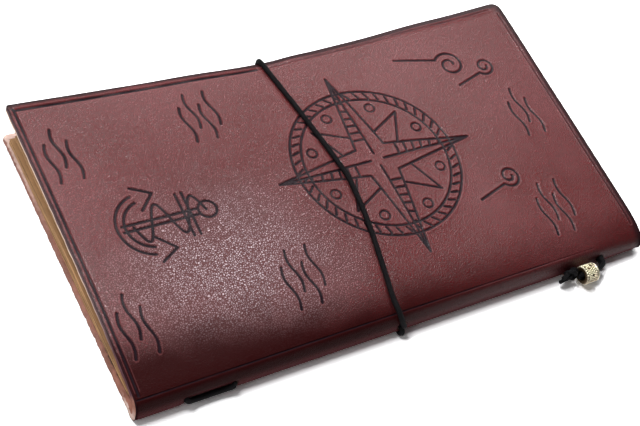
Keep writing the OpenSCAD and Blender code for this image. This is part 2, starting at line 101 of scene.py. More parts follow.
class JournalColours(bpy.types.PropertyGroup):
    """Colours of the journal"""
    hide: colour("Hide", "Dyed outer side of the leather", (0.170, 0.019, 0.021))
    hide_pale: colour("Hide, worn", "Outer side where the dye has rubbed thin", (0.222, 0.043, 0.048))
    tooled: colour("Tooled lines", "Burnt bottom of the tooled lines", (0.014, 0.010, 0.014))
    # Darker dye and painted shade at the fold by the spine
    fold_dye_and_shade: colour("Fold", "Darkened leather at the spine", (0.026, 0.0030, 0.0032))
    burnish: colour("Burnish", "Rubbed dark edges of the front cover", (0.020, 0.010, 0.012))
    cut_edge: colour("Raw edge", "Cut edge of the back cover", (0.30, 0.140, 0.105))
    suede: colour("Suede", "Inner side of the leather", (0.36, 0.165, 0.122))
    # The colour of the sheets' edges: darker golden brown, painted shade under the covers
    paper: colour("Paper", "Uncoated paper", (0.58, 0.345, 0.175))
    elastic: colour("Elastic", "Braided elastic cord", (0.0035, 0.003, 0.0038))
    brass: colour("Bead", "Worn granulated brass", (1.0, 0.85, 0.64))
    backdrop: colour("Backdrop", "Floor of the stage", (0.9, 0.9, 0.91))


def sizes():
    return bpy.context.scene.journal_sizes


def colours():
    return bpy.context.scene.journal_colours


# ---- shape of the moulded wrap, in millimetres

COVER_L = 220.0
COVER_W = 121.0
CREASE_Y = COVER_BOX[1].y / MM - COVER_W
LEATHER_T = 2.8
PAPER_H, PAPER_RISE = 3.8, 4.7
SHEET_HALF, LEAF_W = 107.5, 110.0
SPINE_H = 10.0
FOLD_R = 3.2
BULGE = 2.0
WALL_R = (BULGE ** 2 + (SPINE_H - FOLD_R) ** 2) / (2 * BULGE)
WALL_LEAN = np.arcsin((SPINE_H - FOLD_R) / WALL_R)
WALL_L = WALL_R * WALL_LEAN
FOLD_L = FOLD_R * np.pi / 2
FOLD_S = FOLD_R - BULGE
SEAM_S = 3.0
SEAM_V = -(WALL_L + FOLD_L + SEAM_S - FOLD_S)
HOLE_Z = 5.0
HOLE_V = -(WALL_LEAN - np.arcsin((HOLE_Z - FOLD_R) / WALL_R)) * WALL_R
TAIL_HOLE_X, INNER_HOLE_X, CLOSURE_X, HEAD_HOLE_X = -91.7, -73.7, -6.0, 88.0
BIGHT_Z = 3.1
OUTER_S = -BULGE - 1.1
STRAND_HOLE_R, PAIR_HOLE_R = 1.25, 2.1
# Height of the lips beside a tooled line, and depths of the dents under the closure and the outer run
LIP_H, DENT_D, RUN_DENT_D = 0.14, 0.25, 1.3
# Where the closure elastic lies on the cover: distance from the crease, place along the spine
CROSS = np.array([[6, -8.5], [14, -7], [24, -5], [34, -3], [44, -1.4], [53, -0.4], [58, 0], [66, -0.6],
                  [76, -1.5], [86, -2.4], [96, -3.2], [106, -4], [114, -4.6]])


def smooth(t):
    t = np.clip(t, 0, 1)
    return t * t * (3 - 2 * t)


def end_share(x):
    t = np.minimum(1, np.abs(x) / (COVER_L / 2))
    soft = 0.06
    return (np.sqrt(t * t + soft * soft) - soft) / (np.sqrt(1 + soft * soft) - soft)


def cover_top(x, s):
    """Height of the front cover's outer side."""
    s = np.maximum(s, 0)
    q = s / COVER_W
    mid = 3.2 * (1 - np.exp(-s / 4.5)) + 2.9 * np.sin(np.pi * q ** 1.15) - q ** 2
    end = 9.6 * q ** 0.85 + np.where(x < 0, 2 * np.sin(np.pi * np.minimum(q, 1) ** 0.6), 0)
    e = end_share(x)
    return SPINE_H + (1 - e) * mid + e * end


def stack_top(s):
    return LEATHER_T + PAPER_H + PAPER_RISE * np.sin(np.pi * s / (1.075 * COVER_W))


def stack_mid(s):
    return (LEATHER_T + stack_top(s)) / 2


def outer_line(x, v):
    """Outer side of the wrap before its crease is softened: s and z for places on the blank."""
    down = np.maximum(-v, 0)
    lean = WALL_LEAN - np.minimum(down, WALL_L) / WALL_R
    turn = np.clip(down - WALL_L, 0, FOLD_L) / FOLD_R
    under = np.maximum(down - WALL_L - FOLD_L, 0)
    on_wall = down <= WALL_L
    s = np.where(on_wall, WALL_R - BULGE - WALL_R * np.cos(lean), FOLD_S - FOLD_R * np.cos(turn) + under)
    z = np.where(on_wall, FOLD_R + WALL_R * np.sin(lean), FOLD_R - FOLD_R * np.sin(turn))
    s = np.where(v > 0, v, s)
    z = np.where(v > 0, cover_top(x, v), z)
    slump = 1.3 * smooth((x - 78) / 34) * np.exp(-(np.maximum(v, 0) / 5) ** 2)
    slump = slump * np.clip(1 + np.minimum(v, 0) / WALL_L, 0, 1)
    return s, z - slump


def softened(x, v, reach):
    """The outer line averaged over a short reach of the blank, which rounds its crease."""
    s = z = 0
    weights = (1, 2, 3, 4, 3, 2, 1)
    reach = reach + 3.0 * smooth((x - 62) / 48)
    for k, w in enumerate(weights):
        a, b = outer_line(x, v + reach * (k - 3) / 3)
        s, z = s + w * a, z + w * b
    return s / sum(weights), z / sum(weights)


def wrap_normals(x, v, reach=3.2):
    h = 0.4
    s0, z0 = softened(x, v - h, reach)
    s1, z1 = softened(x, v + h, reach)
    _, za = softened(x - 1, v, reach)
    _, zb = softened(x + 1, v, reach)
    along = np.stack([np.full_like(x, 2.0), np.zeros_like(x), zb - za], 1)
    across = np.stack([np.zeros_like(x), s1 - s0, z1 - z0], 1)
    n = np.cross(along, across)
    return n / np.linalg.norm(n, axis=1)[:, None]


def waviness(x, v):
    """Slight unevenness of hand-cut leather."""
    return (0.16 * np.sin(x / 17.0 + 0.7) * np.sin(v / 23.0 + 1.1)
            + 0.10 * np.sin(x / 9.0 - v / 14.0) + 0.06 * np.sin(x / 5.3 + v / 7.7 + 2.0))


def elastic_x(s):
    return np.interp(s, CROSS[:, 0], CROSS[:, 1])


# ---- tooled picture

def place(u, v):
    """From -1 at the tail to 1 at the head, and from 0 at the crease to 1 at the fore edge."""
    return np.array([u * COVER_L / 2, v * COVER_W])


def polar(c, r, degrees):
    a = np.radians(degrees)
    return np.stack([c[0] + r * np.cos(a), c[1] + r * np.sin(a)], -1)


def ring(c, r, n=36):
    return polar(c, r, np.linspace(0, 360, n + 1))


def compass_rose(c, r):
    strokes = []
    for a in (0, 90, 180, 270):
        strokes += [[polar(c, 3, a), polar(c, r - 2, a)]]
        for side in (-1, 1):
            strokes += [[polar(c, 9, a + 45 * side), polar(c, r, a)],
                        [polar(c, r * 0.63, a + 45), polar(c, 14, a + 45 + 20 * side)]]
        # Hatching on the shaded half of each long point
        tip, foot, mid = polar(c, r, a), polar(c, 9, a + 45), polar(c, 2, a)
        for t in (0.12, 0.22, 0.32, 0.42, 0.53, 0.65):
            strokes += [[foot + (tip - foot) * t, mid + (tip - mid) * (t * 0.86 + 0.1)]]
    strokes += [ring(c, 0.7 * r, 64), ring(c, 0.8 * r, 72)]
    for a in np.arange(7.5, 360, 7.5):
        strokes += [[polar(c, 0.7 * r + 1, a), polar(c, 0.8 * r - 1, a + 3)]]
    return strokes


def rose_studs(c, r):
    return [ring(polar(c, 0.6 * r, a), 2, 14) for a in np.arange(22.5, 360, 45)]


def anchor(c, h):
    top, foot = c + [h / 2, 0], c - [h / 2, 0]
    arm = h / 3
    strokes = [ring(top - [3.5, 0], 3.5, 20)]
    for side in (-1, 1):
        strokes += [[top + [-7.2, 1.2 * side], foot + [2, 1.2 * side]]]
        tip = foot + [arm + 5, side * (arm - 1)]
        strokes += [[tip - [7, -4 * side], tip], [tip, tip - [6, 6 * side]]]
    for dx in (-10, -12.5):
        strokes += [[top + [dx, -9], top + [dx, 9]]]
    for r in (arm, arm - 3):
        strokes += [polar(foot + [arm, 0], r, np.linspace(105, 255, 25))]
    k = np.linspace(0, 16, 49)
    rope = np.stack([top[0] - 4 - k * (h - 10) / 16, c[1] + 7 * np.sin(np.radians(45 * k))], 1)
    return strokes + [rope]


def waves(c, n):
    strokes = []
    for k in range(n):
        i = np.linspace(0, 3, 13)
        bend = 0.9 * np.sin(np.radians(120 * i))
        shift = -3 if k % 2 == 0 else 3
        strokes += [np.stack([c[0] + 4.2 * (k - 1.5) + bend, c[1] + shift + 17 * (i / 3 - 0.5)], 1)]
    return strokes


def scroll(c, size, way):
    k = np.linspace(0, 12, 37)
    turn = np.radians(42 * k)
    spiral = np.stack([c[0] + size * (0.25 + 0.75 * k / 12) * np.cos(turn),
                       c[1] + size * (0.25 + 0.75 * k / 12) * way * np.sin(turn)], 1)
    a = np.radians(504)
    tail = [[c[0] + size * (np.cos(a) - 0.9 * j), c[1] + size * way * (np.sin(a) + 0.25 * j)]
            for j in (1, 2, 3)]
    return [np.concatenate([spiral, tail])]


def border():
    x0, x1, s1 = 2 - COVER_L / 2, COVER_L / 2 - 3, COVER_W - 3
    return [([[x0, 2.2], [x0, s1 - 0.3]], 0.55, 0.9), ([[x0, s1], [-8, s1]], 0.65, 1.0),
            ([[-8, s1], [x1 - 3, s1]], 0.5, 0.4), ([[x1, s1 - 3], [x1, 6]], 0.45, 0.3)]


def tooled_strokes():
    """Every tooled line of the front cover: its points, its half width and its share of the depth."""
    rose_c, anchor_c = place(0.145, 0.512), place(-0.664, 0.496)
    strokes = border()
    strokes += [(p, 0.58, 1.0) for p in compass_rose(rose_c, 43)]
    strokes += [(p, 0.5, 0.9) for p in rose_studs(rose_c, 43)]
    strokes += [(p, 0.62, 1.0) for p in anchor(anchor_c, 38)]
    for c, n in ((place(-0.33, 0.2), 4), (place(-0.38, 0.83), 4), (place(0.71, 0.18), 4),
                 (place(0.84, 0.55), 3), (place(-0.89, 0.21), 3), (place(-0.88, 0.79), 3)):
        strokes += [(p, 0.6, 1.0) for p in waves(c, n)]
    for c, size, way in ((place(0.65, 0.8), 6.5, 1), (place(0.78, 0.76), 4.5, -1),
                         (place(0.6, 0.33), 5, -1)):
        strokes += [(p, 0.6, 0.9) for p in scroll(c, size, way)]
    # The crease line fades towards the head
    for x0, x1, half, share in ((-109, -20, 0.38, 0.62), (-21, 30, 0.35, 0.55), (29, 62, 0.33, 0.45),
                                (61, 84, 0.3, 0.3)):
        strokes += [([[x0, 1.0], [x1, 1.0]], half, share)]
    return [(np.asarray(p, float), w, d) for p, w, d in strokes]


def stroke_field(x, v, strokes, reach=4.0):
    """For each place: the distance to the nearest stroke's side line, and how deep it is tooled there."""
    near = np.full(len(x), reach)
    cut = np.zeros(len(x))
    for path, half, share in strokes:
        lo, hi = path.min(0) - reach, path.max(0) + reach
        i = np.nonzero((x > lo[0]) & (x < hi[0]) & (v > lo[1]) & (v < hi[1]))[0]
        if not len(i):
            continue
        p = np.stack([x[i], v[i]], 1)
        best = np.full(len(i), 1e9)
        for a, b in zip(path[:-1], path[1:]):
            d = b - a
            t = np.clip(((p - a) @ d) / max(d @ d, 1e-9), 0, 1)
            best = np.minimum(best, np.linalg.norm(p - a - t[:, None] * d, axis=1))
        near[i] = np.minimum(near[i], np.maximum(best - half, -half))
        cut[i] = np.maximum(cut[i], share * (1 - smooth((best / half - 0.4) / 0.75)))
    return near, cut


# ---- workshop helpers

def only(*objs):
    """Select these objects alone, and make the first one active."""
    bpy.ops.object.select_all(action="DESELECT")
    for obj in objs:
        obj.select_set(True)
    bpy.context.view_layer.objects.active = objs[0]


def added(name):
    obj = bpy.context.object
    only(obj)
    obj.name = obj.data.name = name
    return obj


def join(pieces, name):
    only(*pieces)
    bpy.ops.object.join()
    return added(name)


def copied(obj):
    twin = obj.copy()
    twin.data = obj.data.copy()
    bpy.context.collection.objects.link(twin)
    return twin


def read(items, field):
    """A vector for each vertex or face of a mesh."""
    values = np.empty(len(items) * 3, np.float32)
    items.foreach_get(field, values)
    return values.reshape(-1, 3).astype(float)


def places(obj):
    return read(obj.data.vertices, "co") / MM


def blank_places(obj):
    co = places(obj)
    return co[:, 0], co[:, 1], -co[:, 2]


def set_places(obj, co):
    obj.data.vertices.foreach_set("co", np.asarray(np.asarray(co) * MM, np.float32).ravel())
    obj.data.update()


def note(obj, name, values, kind="FLOAT"):
    """Keep a value for each point of the mesh, which the materials read."""
    attribute = obj.data.attributes.new(name, kind, "POINT")
    field = "vector" if kind == "FLOAT_VECTOR" else "value"
    attribute.data.foreach_set(field, np.asarray(values, np.float32).ravel())


def note_blank(obj, x, v, depth):
    note(obj, "blank", np.stack([x, v, depth], 1) * MM, "FLOAT_VECTOR")


def flat_blank(name, x0, x1, v0, v1, depth):
    """A flat box, its outer side up at height zero."""
    bpy.ops.mesh.primitive_cube_add(
        size=1, location=((x0 + x1) / 2 * MM, (v0 + v1) / 2 * MM, -depth / 2 * MM),
        scale=((x1 - x0) * MM, (v1 - v0) * MM, depth * MM))
    obj = added(name)
    bpy.ops.object.transform_apply(location=True, rotation=True, scale=True)
    return obj


def bevel(obj, test, radius, **settings):
    """Round the edges that pass the test."""
    bpy.ops.object.mode_set(mode="EDIT")
    bpy.ops.mesh.select_mode(type="EDGE")
    bpy.ops.mesh.select_all(action="DESELECT")
    bm = bmesh.from_edit_mesh(obj.data)
    for edge in bm.edges:
        edge.select_set(bool(test(edge)))
    bm.select_flush_mode()
    bmesh.update_edit_mesh(obj.data)
    bpy.ops.mesh.bevel(offset=radius * MM, affect="EDGES", **settings)
    bpy.ops.object.mode_set(mode="OBJECT")


def cover_blank(name, v0):
    """Leather from v0 to the fore edge, with the cover's two rounded corners."""
    obj = flat_blank(name, -COVER_L / 2, COVER_L / 2, v0, COVER_W, LEATHER_T)
    for x, radius, segments in ((COVER_L / 2, 4, 6), (-COVER_L / 2, 0.8, 3)):
        bevel(obj, lambda e: all(abs(p.co.x / MM - x) < 0.01 and abs(p.co.y / MM - COVER_W) < 0.01
                                 for p in e.verts), radius, segments=segments, clamp_overlap=False)
    return obj


def punch(obj, x, v, radius):
    """Punch a round hole through a blank."""
    bpy.ops.mesh.primitive_cylinder_add(vertices=28, radius=radius * MM, depth=0.02,
                                        location=(x * MM, v * MM, 0))
    punch_tool = added("punch")
    only(obj)
    cut = obj.modifiers.new("punch", "BOOLEAN")
    cut.object, cut.operation, cut.solver = punch_tool, "DIFFERENCE", "EXACT"
    bpy.ops.object.modifier_apply(modifier=cut.name)
    bpy.data.objects.remove(punch_tool)


def rub_rims(obj, radius, keep_v):
    """Round the sharp rims of a blank, apart from the seam at keep_v."""
    bevel(obj, lambda e: len(e.link_faces) == 2 and e.calc_face_angle(0) >= 1.0
          and any(abs(p.co.y / MM - keep_v) > 0.01 for p in e.verts),
          radius, segments=2, profile=0.6, clamp_overlap=True)


def slice_blank(obj, axis, at):
    """Cut the blank by upright planes, so that it can bend there."""
    bpy.ops.object.mode_set(mode="EDIT")
    normal = (1, 0, 0) if axis == 0 else (0, 1, 0)
    for value in at:
        bpy.ops.mesh.select_all(action="SELECT")
        point = [0, 0, 0]
        point[axis] = value * MM
        bpy.ops.mesh.bisect(plane_co=point, plane_no=normal, threshold=1e-6)
    bpy.ops.object.mode_set(mode="OBJECT")


def refine(obj, wanted):
    """Subdivide the outer faces that wanted picks from their middles, in millimetres."""
    mesh = obj.data
    centre, normal = read(mesh.polygons, "center"), read(mesh.polygons, "normal")
    chosen = (normal[:, 2] > 0.99) & (centre[:, 2] > -1e-6)
    index = np.nonzero(chosen)[0]
    chosen[index] = wanted(centre[index, 0] / MM, centre[index, 1] / MM)
    bpy.context.tool_settings.mesh_select_mode = (False, False, True)
    for items, flags in ((mesh.vertices, np.zeros(len(mesh.vertices), bool)),
                         (mesh.edges, np.zeros(len(mesh.edges), bool)), (mesh.polygons, chosen)):
        items.foreach_set("select", flags)
    bpy.ops.object.mode_set(mode="EDIT")
    bpy.ops.mesh.subdivide(number_cuts=1)
    bpy.ops.object.mode_set(mode="OBJECT")


def face_outwards(merge=0.0):
    """Turn the active object's faces outwards, once its points closer than merge are one."""
    bpy.ops.object.mode_set(mode="EDIT")
    bpy.ops.mesh.select_all(action="SELECT")
    if merge:
        bpy.ops.mesh.remove_doubles(threshold=merge)
    bpy.ops.mesh.normals_make_consistent(inside=False)
    bpy.ops.object.mode_set(mode="OBJECT")


def finish_surface(obj, material, angle=60):
    only(obj)
    bpy.ops.object.shade_smooth_by_angle(angle=np.radians(angle))
    obj.data.materials.clear()
    obj.data.materials.append(material)


def tube(name, path, radius, sides=12, closed=False, side=(0, 0, 1), flat=None):
    """A cord along path, in millimetres: a grid rolled up, its UV running along and round it.
    flat gives the half height where the cord is pressed flat, and radius is then its half width."""
    if closed:
        t = np.gradient(np.concatenate([path[-1:], path, path[:2]]), axis=0)[1:-1]
        path = np.concatenate([path, path[:1]])
    else:
        t = np.gradient(path, axis=0)
    rows = len(path)
    radius = np.broadcast_to(radius, (rows,))
    high = radius if flat is None else flat
    t /= np.linalg.norm(t, axis=1)[:, None]
    # The frame is carried along the path, so that it never flips
    a = np.empty_like(t)
    start = np.asarray(side, float)
    for i in range(rows):
        start = start - (start @ t[i]) * t[i]
        start = start / np.linalg.norm(start)
        a[i] = start
    b = np.cross(t, a)
    if closed:
        # Spread the turn that is left over along the whole ring
        off = np.arctan2(a[-1] @ b[0], a[-1] @ a[0])
        w = -off * np.linspace(0, 1, rows)[:, None]
        a, b = a * np.cos(w) + b * np.sin(w), b * np.cos(w) - a * np.sin(w)
    bpy.ops.mesh.primitive_grid_add(x_subdivisions=rows - 1, y_subdivisions=sides, size=1, calc_uvs=True)
    obj = added(name)
    grid = read(obj.data.vertices, "co")
    i = np.rint((grid[:, 0] + 0.5) * (rows - 1)).astype(int)
    k = (grid[:, 1] + 0.5) * 2 * np.pi
    set_places(obj, path[i] + radius[i, None] * np.cos(k)[:, None] * a[i]
               + high[i, None] * np.sin(k)[:, None] * b[i])
    run = np.r_[0, np.cumsum(np.linalg.norm(np.diff(path, axis=0), axis=1))]
    uv = obj.data.uv_layers[0].data
    values = np.empty(len(uv) * 2, np.float32)
    uv.foreach_get("uv", values)
    values[::2] = np.interp(values[::2] * (rows - 1), np.arange(rows), run)
    uv.foreach_set("uv", values)
    only(obj)
    face_outwards(1e-6)
    if not closed:
        bpy.ops.object.mode_set(mode="EDIT")
        bpy.ops.mesh.select_all(action="DESELECT")
        bpy.ops.mesh.select_mode(type="EDGE")
        bpy.ops.mesh.select_non_manifold()
        bpy.ops.mesh.edge_face_add()
        bpy.ops.object.mode_set(mode="OBJECT")
        face_outwards()
    return obj


def resample(points, step, values=None):
    """A smooth curve through the points, a point every step; values follow along."""
    keep = np.r_[True, np.linalg.norm(np.diff(points, axis=0), axis=1) > 1e-6]
    p = points[keep]
    chord = np.r_[0, np.cumsum(np.sqrt(np.linalg.norm(np.diff(p, axis=0), axis=1)))]
    m = np.empty_like(p)
    dt = np.diff(chord)
    slope = np.diff(p, axis=0) / dt[:, None]
    m[1:-1] = (dt[1:, None] * slope[:-1] + dt[:-1, None] * slope[1:]) / (dt[1:] + dt[:-1])[:, None]
    m[0], m[-1] = slope[0], slope[-1]
    fine = np.linspace(0, chord[-1], 4000)
    i = np.clip(np.searchsorted(chord, fine, side="right") - 1, 0, len(p) - 2)
    h = dt[i, None]
    t = (fine[:, None] - chord[i, None]) / h
    step_on, m0, m1 = p[i + 1] - p[i], m[i] * h, m[i + 1] * h
    curve = p[i] + t * (m0 + t * (3 * step_on - 2 * m0 - m1 + t * (m0 + m1 - 2 * step_on)))
    run = np.r_[0, np.cumsum(np.linalg.norm(np.diff(curve, axis=0), axis=1))]
    at = np.linspace(0, run[-1], max(3, int(run[-1] / step)) + 1)
    path = np.stack([np.interp(at, run, curve[:, j]) for j in range(3)], 1)
    if values is None:
        return path
    return path, np.interp(np.interp(at, run, fine), chord, np.asarray(values, float)[keep])


def in_frame(points):
    """Places x, s and z in the frame's millimetres."""
    return np.asarray(points, float) + [0, CREASE_Y, 0]


# ---- shader nodes

class Value:
    """The value of a socket. Sums and products of values add the nodes that work them out."""

    def __init__(self, socket):
        self.socket = socket
        self.tree = socket.id_data

    def __add__(self, other):
        return math("ADD", self, other)

    def __sub__(self, other):
        return math("SUBTRACT", self, other)

    def __rsub__(self, other):
        return math("SUBTRACT", other, self)

    def __mul__(self, other):
        return math("MULTIPLY", self, other)


def plug(socket, value):
    """Lead a value into an input, or set the input to a plain number, vector or colour."""
    if isinstance(value, Value):
        socket.id_data.links.new(value.socket, socket)
    else:
        socket.default_value = value


def new_node(tree, kind, inputs, out=0, **settings):
    """The value that a new node puts out."""
    node = tree.nodes.new(kind)
    for name, value in settings.items():
        setattr(node, name, value)
    for name, value in inputs.items():
        plug(node.inputs[name], value)
    return Value(node.outputs[out])


def math(operation, a, b=0.0, clamp=False):
    tree = (a if isinstance(a, Value) else b).tree
    return new_node(tree, "ShaderNodeMath", {0: a, 1: b}, operation=operation, use_clamp=clamp)


def vectors(operation, a, b=(0, 0, 0), out=0):
    return new_node(a.tree, "ShaderNodeVectorMath", {0: a, 1: b}, out, operation=operation)


def ramp(value, low, high):
    """0 below low, 1 above high."""
    return new_node(value.tree, "ShaderNodeMapRange",
                    {"Value": value, "From Min": low, "From Max": high}, interpolation_type="SMOOTHSTEP")


def mix(share, a, b):
    """Colour a where share is 0, and colour b where it is 1."""
    a, b = (c if isinstance(c, Value) else (*c, 1.0) for c in (a, b))
    return new_node(share.tree, "ShaderNodeMix", {0: share, 6: a, 7: b}, 2, data_type="RGBA")


def mottled(mask, tone, low, high):
    """A colour varied from low to high times its strength."""
    return mix(mask, *([min(1, part * share) for part in tone] for share in (low, high)))


def noise(vector, scale, detail, roughness=0.5, distortion=0.0, out="Fac"):
    inputs = {"Vector": vector, "Scale": scale, "Detail": detail, "Roughness": roughness,
              "Distortion": distortion}
    return new_node(vector.tree, "ShaderNodeTexNoise", inputs, out)


def attribute(tree, name, out="Fac"):
    return new_node(tree, "ShaderNodeAttribute", {}, out, attribute_name=name)


def xyz(vector):
    split = new_node(vector.tree, "ShaderNodeSeparateXYZ", {0: vector})
    return [Value(socket) for socket in split.socket.node.outputs]


def effect(name, build, **given):
    """Place the shared node group of this name, which build makes from its inputs the first time."""
    group = bpy.data.node_groups.get(name)
    if group is None:
        group = bpy.data.node_groups.new(name, "ShaderNodeTree")
        for socket, value in given.items():
            kind = "NodeSocketVector" if isinstance(value, Value) else "NodeSocketFloat"
            group.interface.new_socket(name=socket, in_out="INPUT", socket_type=kind)
        into = group.nodes.new("NodeGroupInput").outputs
        results = build(*[Value(into[socket]) for socket in given])
        for socket in results:
            group.interface.new_socket(name=socket, in_out="OUTPUT", socket_type="NodeSocketFloat")
        out = group.nodes.new("NodeGroupOutput").inputs
        for socket, value in results.items():
            plug(out[socket], value)
    tree = next(value.tree for value in given.values() if isinstance(value, Value))
    placed = new_node(tree, "ShaderNodeGroup", given, node_tree=group)
    return {socket.name: Value(socket) for socket in placed.socket.node.outputs}


def pebble_grain(vector, density):
    """Pebbled grain of the hide: a height and a mask of the creases between pebbles."""
    warp = vectors("MULTIPLY", noise(vector, 420.0, 2.0, out="Color"), (0.0011, 0.0011, 0.0011))
    cells = new_node(vector.tree, "ShaderNodeTexVoronoi",
                     {"Vector": vectors("ADD", vector, warp), "Scale": density}, "Distance",
                     feature="DISTANCE_TO_EDGE")
    bumps = ramp(cells, 0.02, 0.3)
    return {"Height": bumps + noise(vector, 3800.0, 2.0) * 0.25, "Creases": 1.0 - bumps}


def dye_and_rub(vector):
    """Cloudy unevenness of dye and rub: two masks, one broad and one of scuffs."""
    stretched = new_node(vector.tree, "ShaderNodeMapping",
                         {"Vector": vector, "Scale": (1.0, 4.0, 1.0), "Rotation": (0, 0, 0.6)})
    return {"Clouds": ramp(noise(vector, 22.0, 4.0, 0.55), 0.32, 0.68),
            "Scuffs": ramp(noise(stretched, 90.0, 5.0, 0.7), 0.56, 0.74)}


def fibres(vector, fineness):
    """Loose fibres of suede and of handmade paper: a height and a mottled mask."""
    return {"Height": noise(vector, fineness, 5.0, 0.75, 0.6),
            "Mottle": ramp(noise(vector, 160.0, 6.0, 0.7), 0.3, 0.7)}


def braid(uv, strands, pitch):
    """Braid of an elastic cord, from a UV that runs along the cord in millimetres and once round it."""
    along, turn, _ = xyz(uv)
    along, turn = math("DIVIDE", along, pitch), turn * strands
    up, down = (math("SINE", math("PINGPONG", phase, 0.5) * 6.2832)
                for phase in (along + turn, along - turn))
    height = math("POWER", math("ABSOLUTE", up * down), 0.5)
    return {"Height": height, "Gaps": math("SUBTRACT", 1.0, height, clamp=True)}


def burnish_shade_and_sheen(blank):
    """Where a cover is rubbed dark along its cut edges, and where its fold has darker dye and painted
    shade, from its place on the blank. Also how coarse the grain is, and where a sheen is painted on the
    pebbles."""
    x, v, _ = xyz(blank)
    uneven = (noise(blank, 70.0, 4.0) - 0.5) * 0.004
    half = COVER_L / 2 * MM
    tail = x + half + uneven * 0.4
    head = half - x + uneven
    # The head half of the fore edge is rubbed further in than the tail half
    fore = COVER_W * MM - v + uneven * 0.5 - ramp(x, -0.03, 0.02) * 0.0012
    edges = math("MAXIMUM", 1.0 - ramp(tail, 0.0002, 0.0010), 1.0 - ramp(fore, 0.0004, 0.0018))
    edges = math("MAXIMUM", edges, 1.0 - ramp(head, 0.0006, 0.0052))
    # Darker dye and painted shade at the fold, reaching furthest in at the tail
    down = v + uneven * 3.0 - ramp(x, -0.02, -0.1) * 0.009
    fold_dye_and_shade = (1.0 - ramp(down, 0.0, 0.021)) * (1.0 - ramp(x, -0.03, 0.06) * 0.5)
    # Coarsest in the tail half, between the fold and the middle
    coarse = ramp(x, 0.06, -0.02) * ramp(x, -0.12, -0.06) * ramp(v, 0.13, 0.05) * ramp(v, 0.002, 0.025)
    # Painted sheen in a cloudy patch in the middle of the tail half
    away = vectors("DISTANCE", vectors("MULTIPLY", blank, (0.8, 1.0, 0.0)), (-0.047, 0.034, 0), "Value")
    return {"Edges": edges, "Fold": fold_dye_and_shade, "Coarse": coarse * 0.9 + 0.35,
            "Painted sheen": ramp(away + uneven * 10.0, 0.05, -0.004) * 0.74}


# ---- materials

def new_material(name):
    """A new material with its Principled shader: the material, its tree, the shader."""
    material = bpy.data.materials.new(name)
    material.use_nodes = True
    return material, material.node_tree, material.node_tree.nodes["Principled BSDF"]


def finish(shader, height, distance, **inputs):
    """Set the shader's inputs, with underscores for spaces, and its bump."""
    inputs["Normal"] = new_node(shader.id_data, "ShaderNodeBump", {"Height": height, "Distance": distance})
    for name, value in inputs.items():
        plug(shader.inputs[name.replace("_", " ")], value)


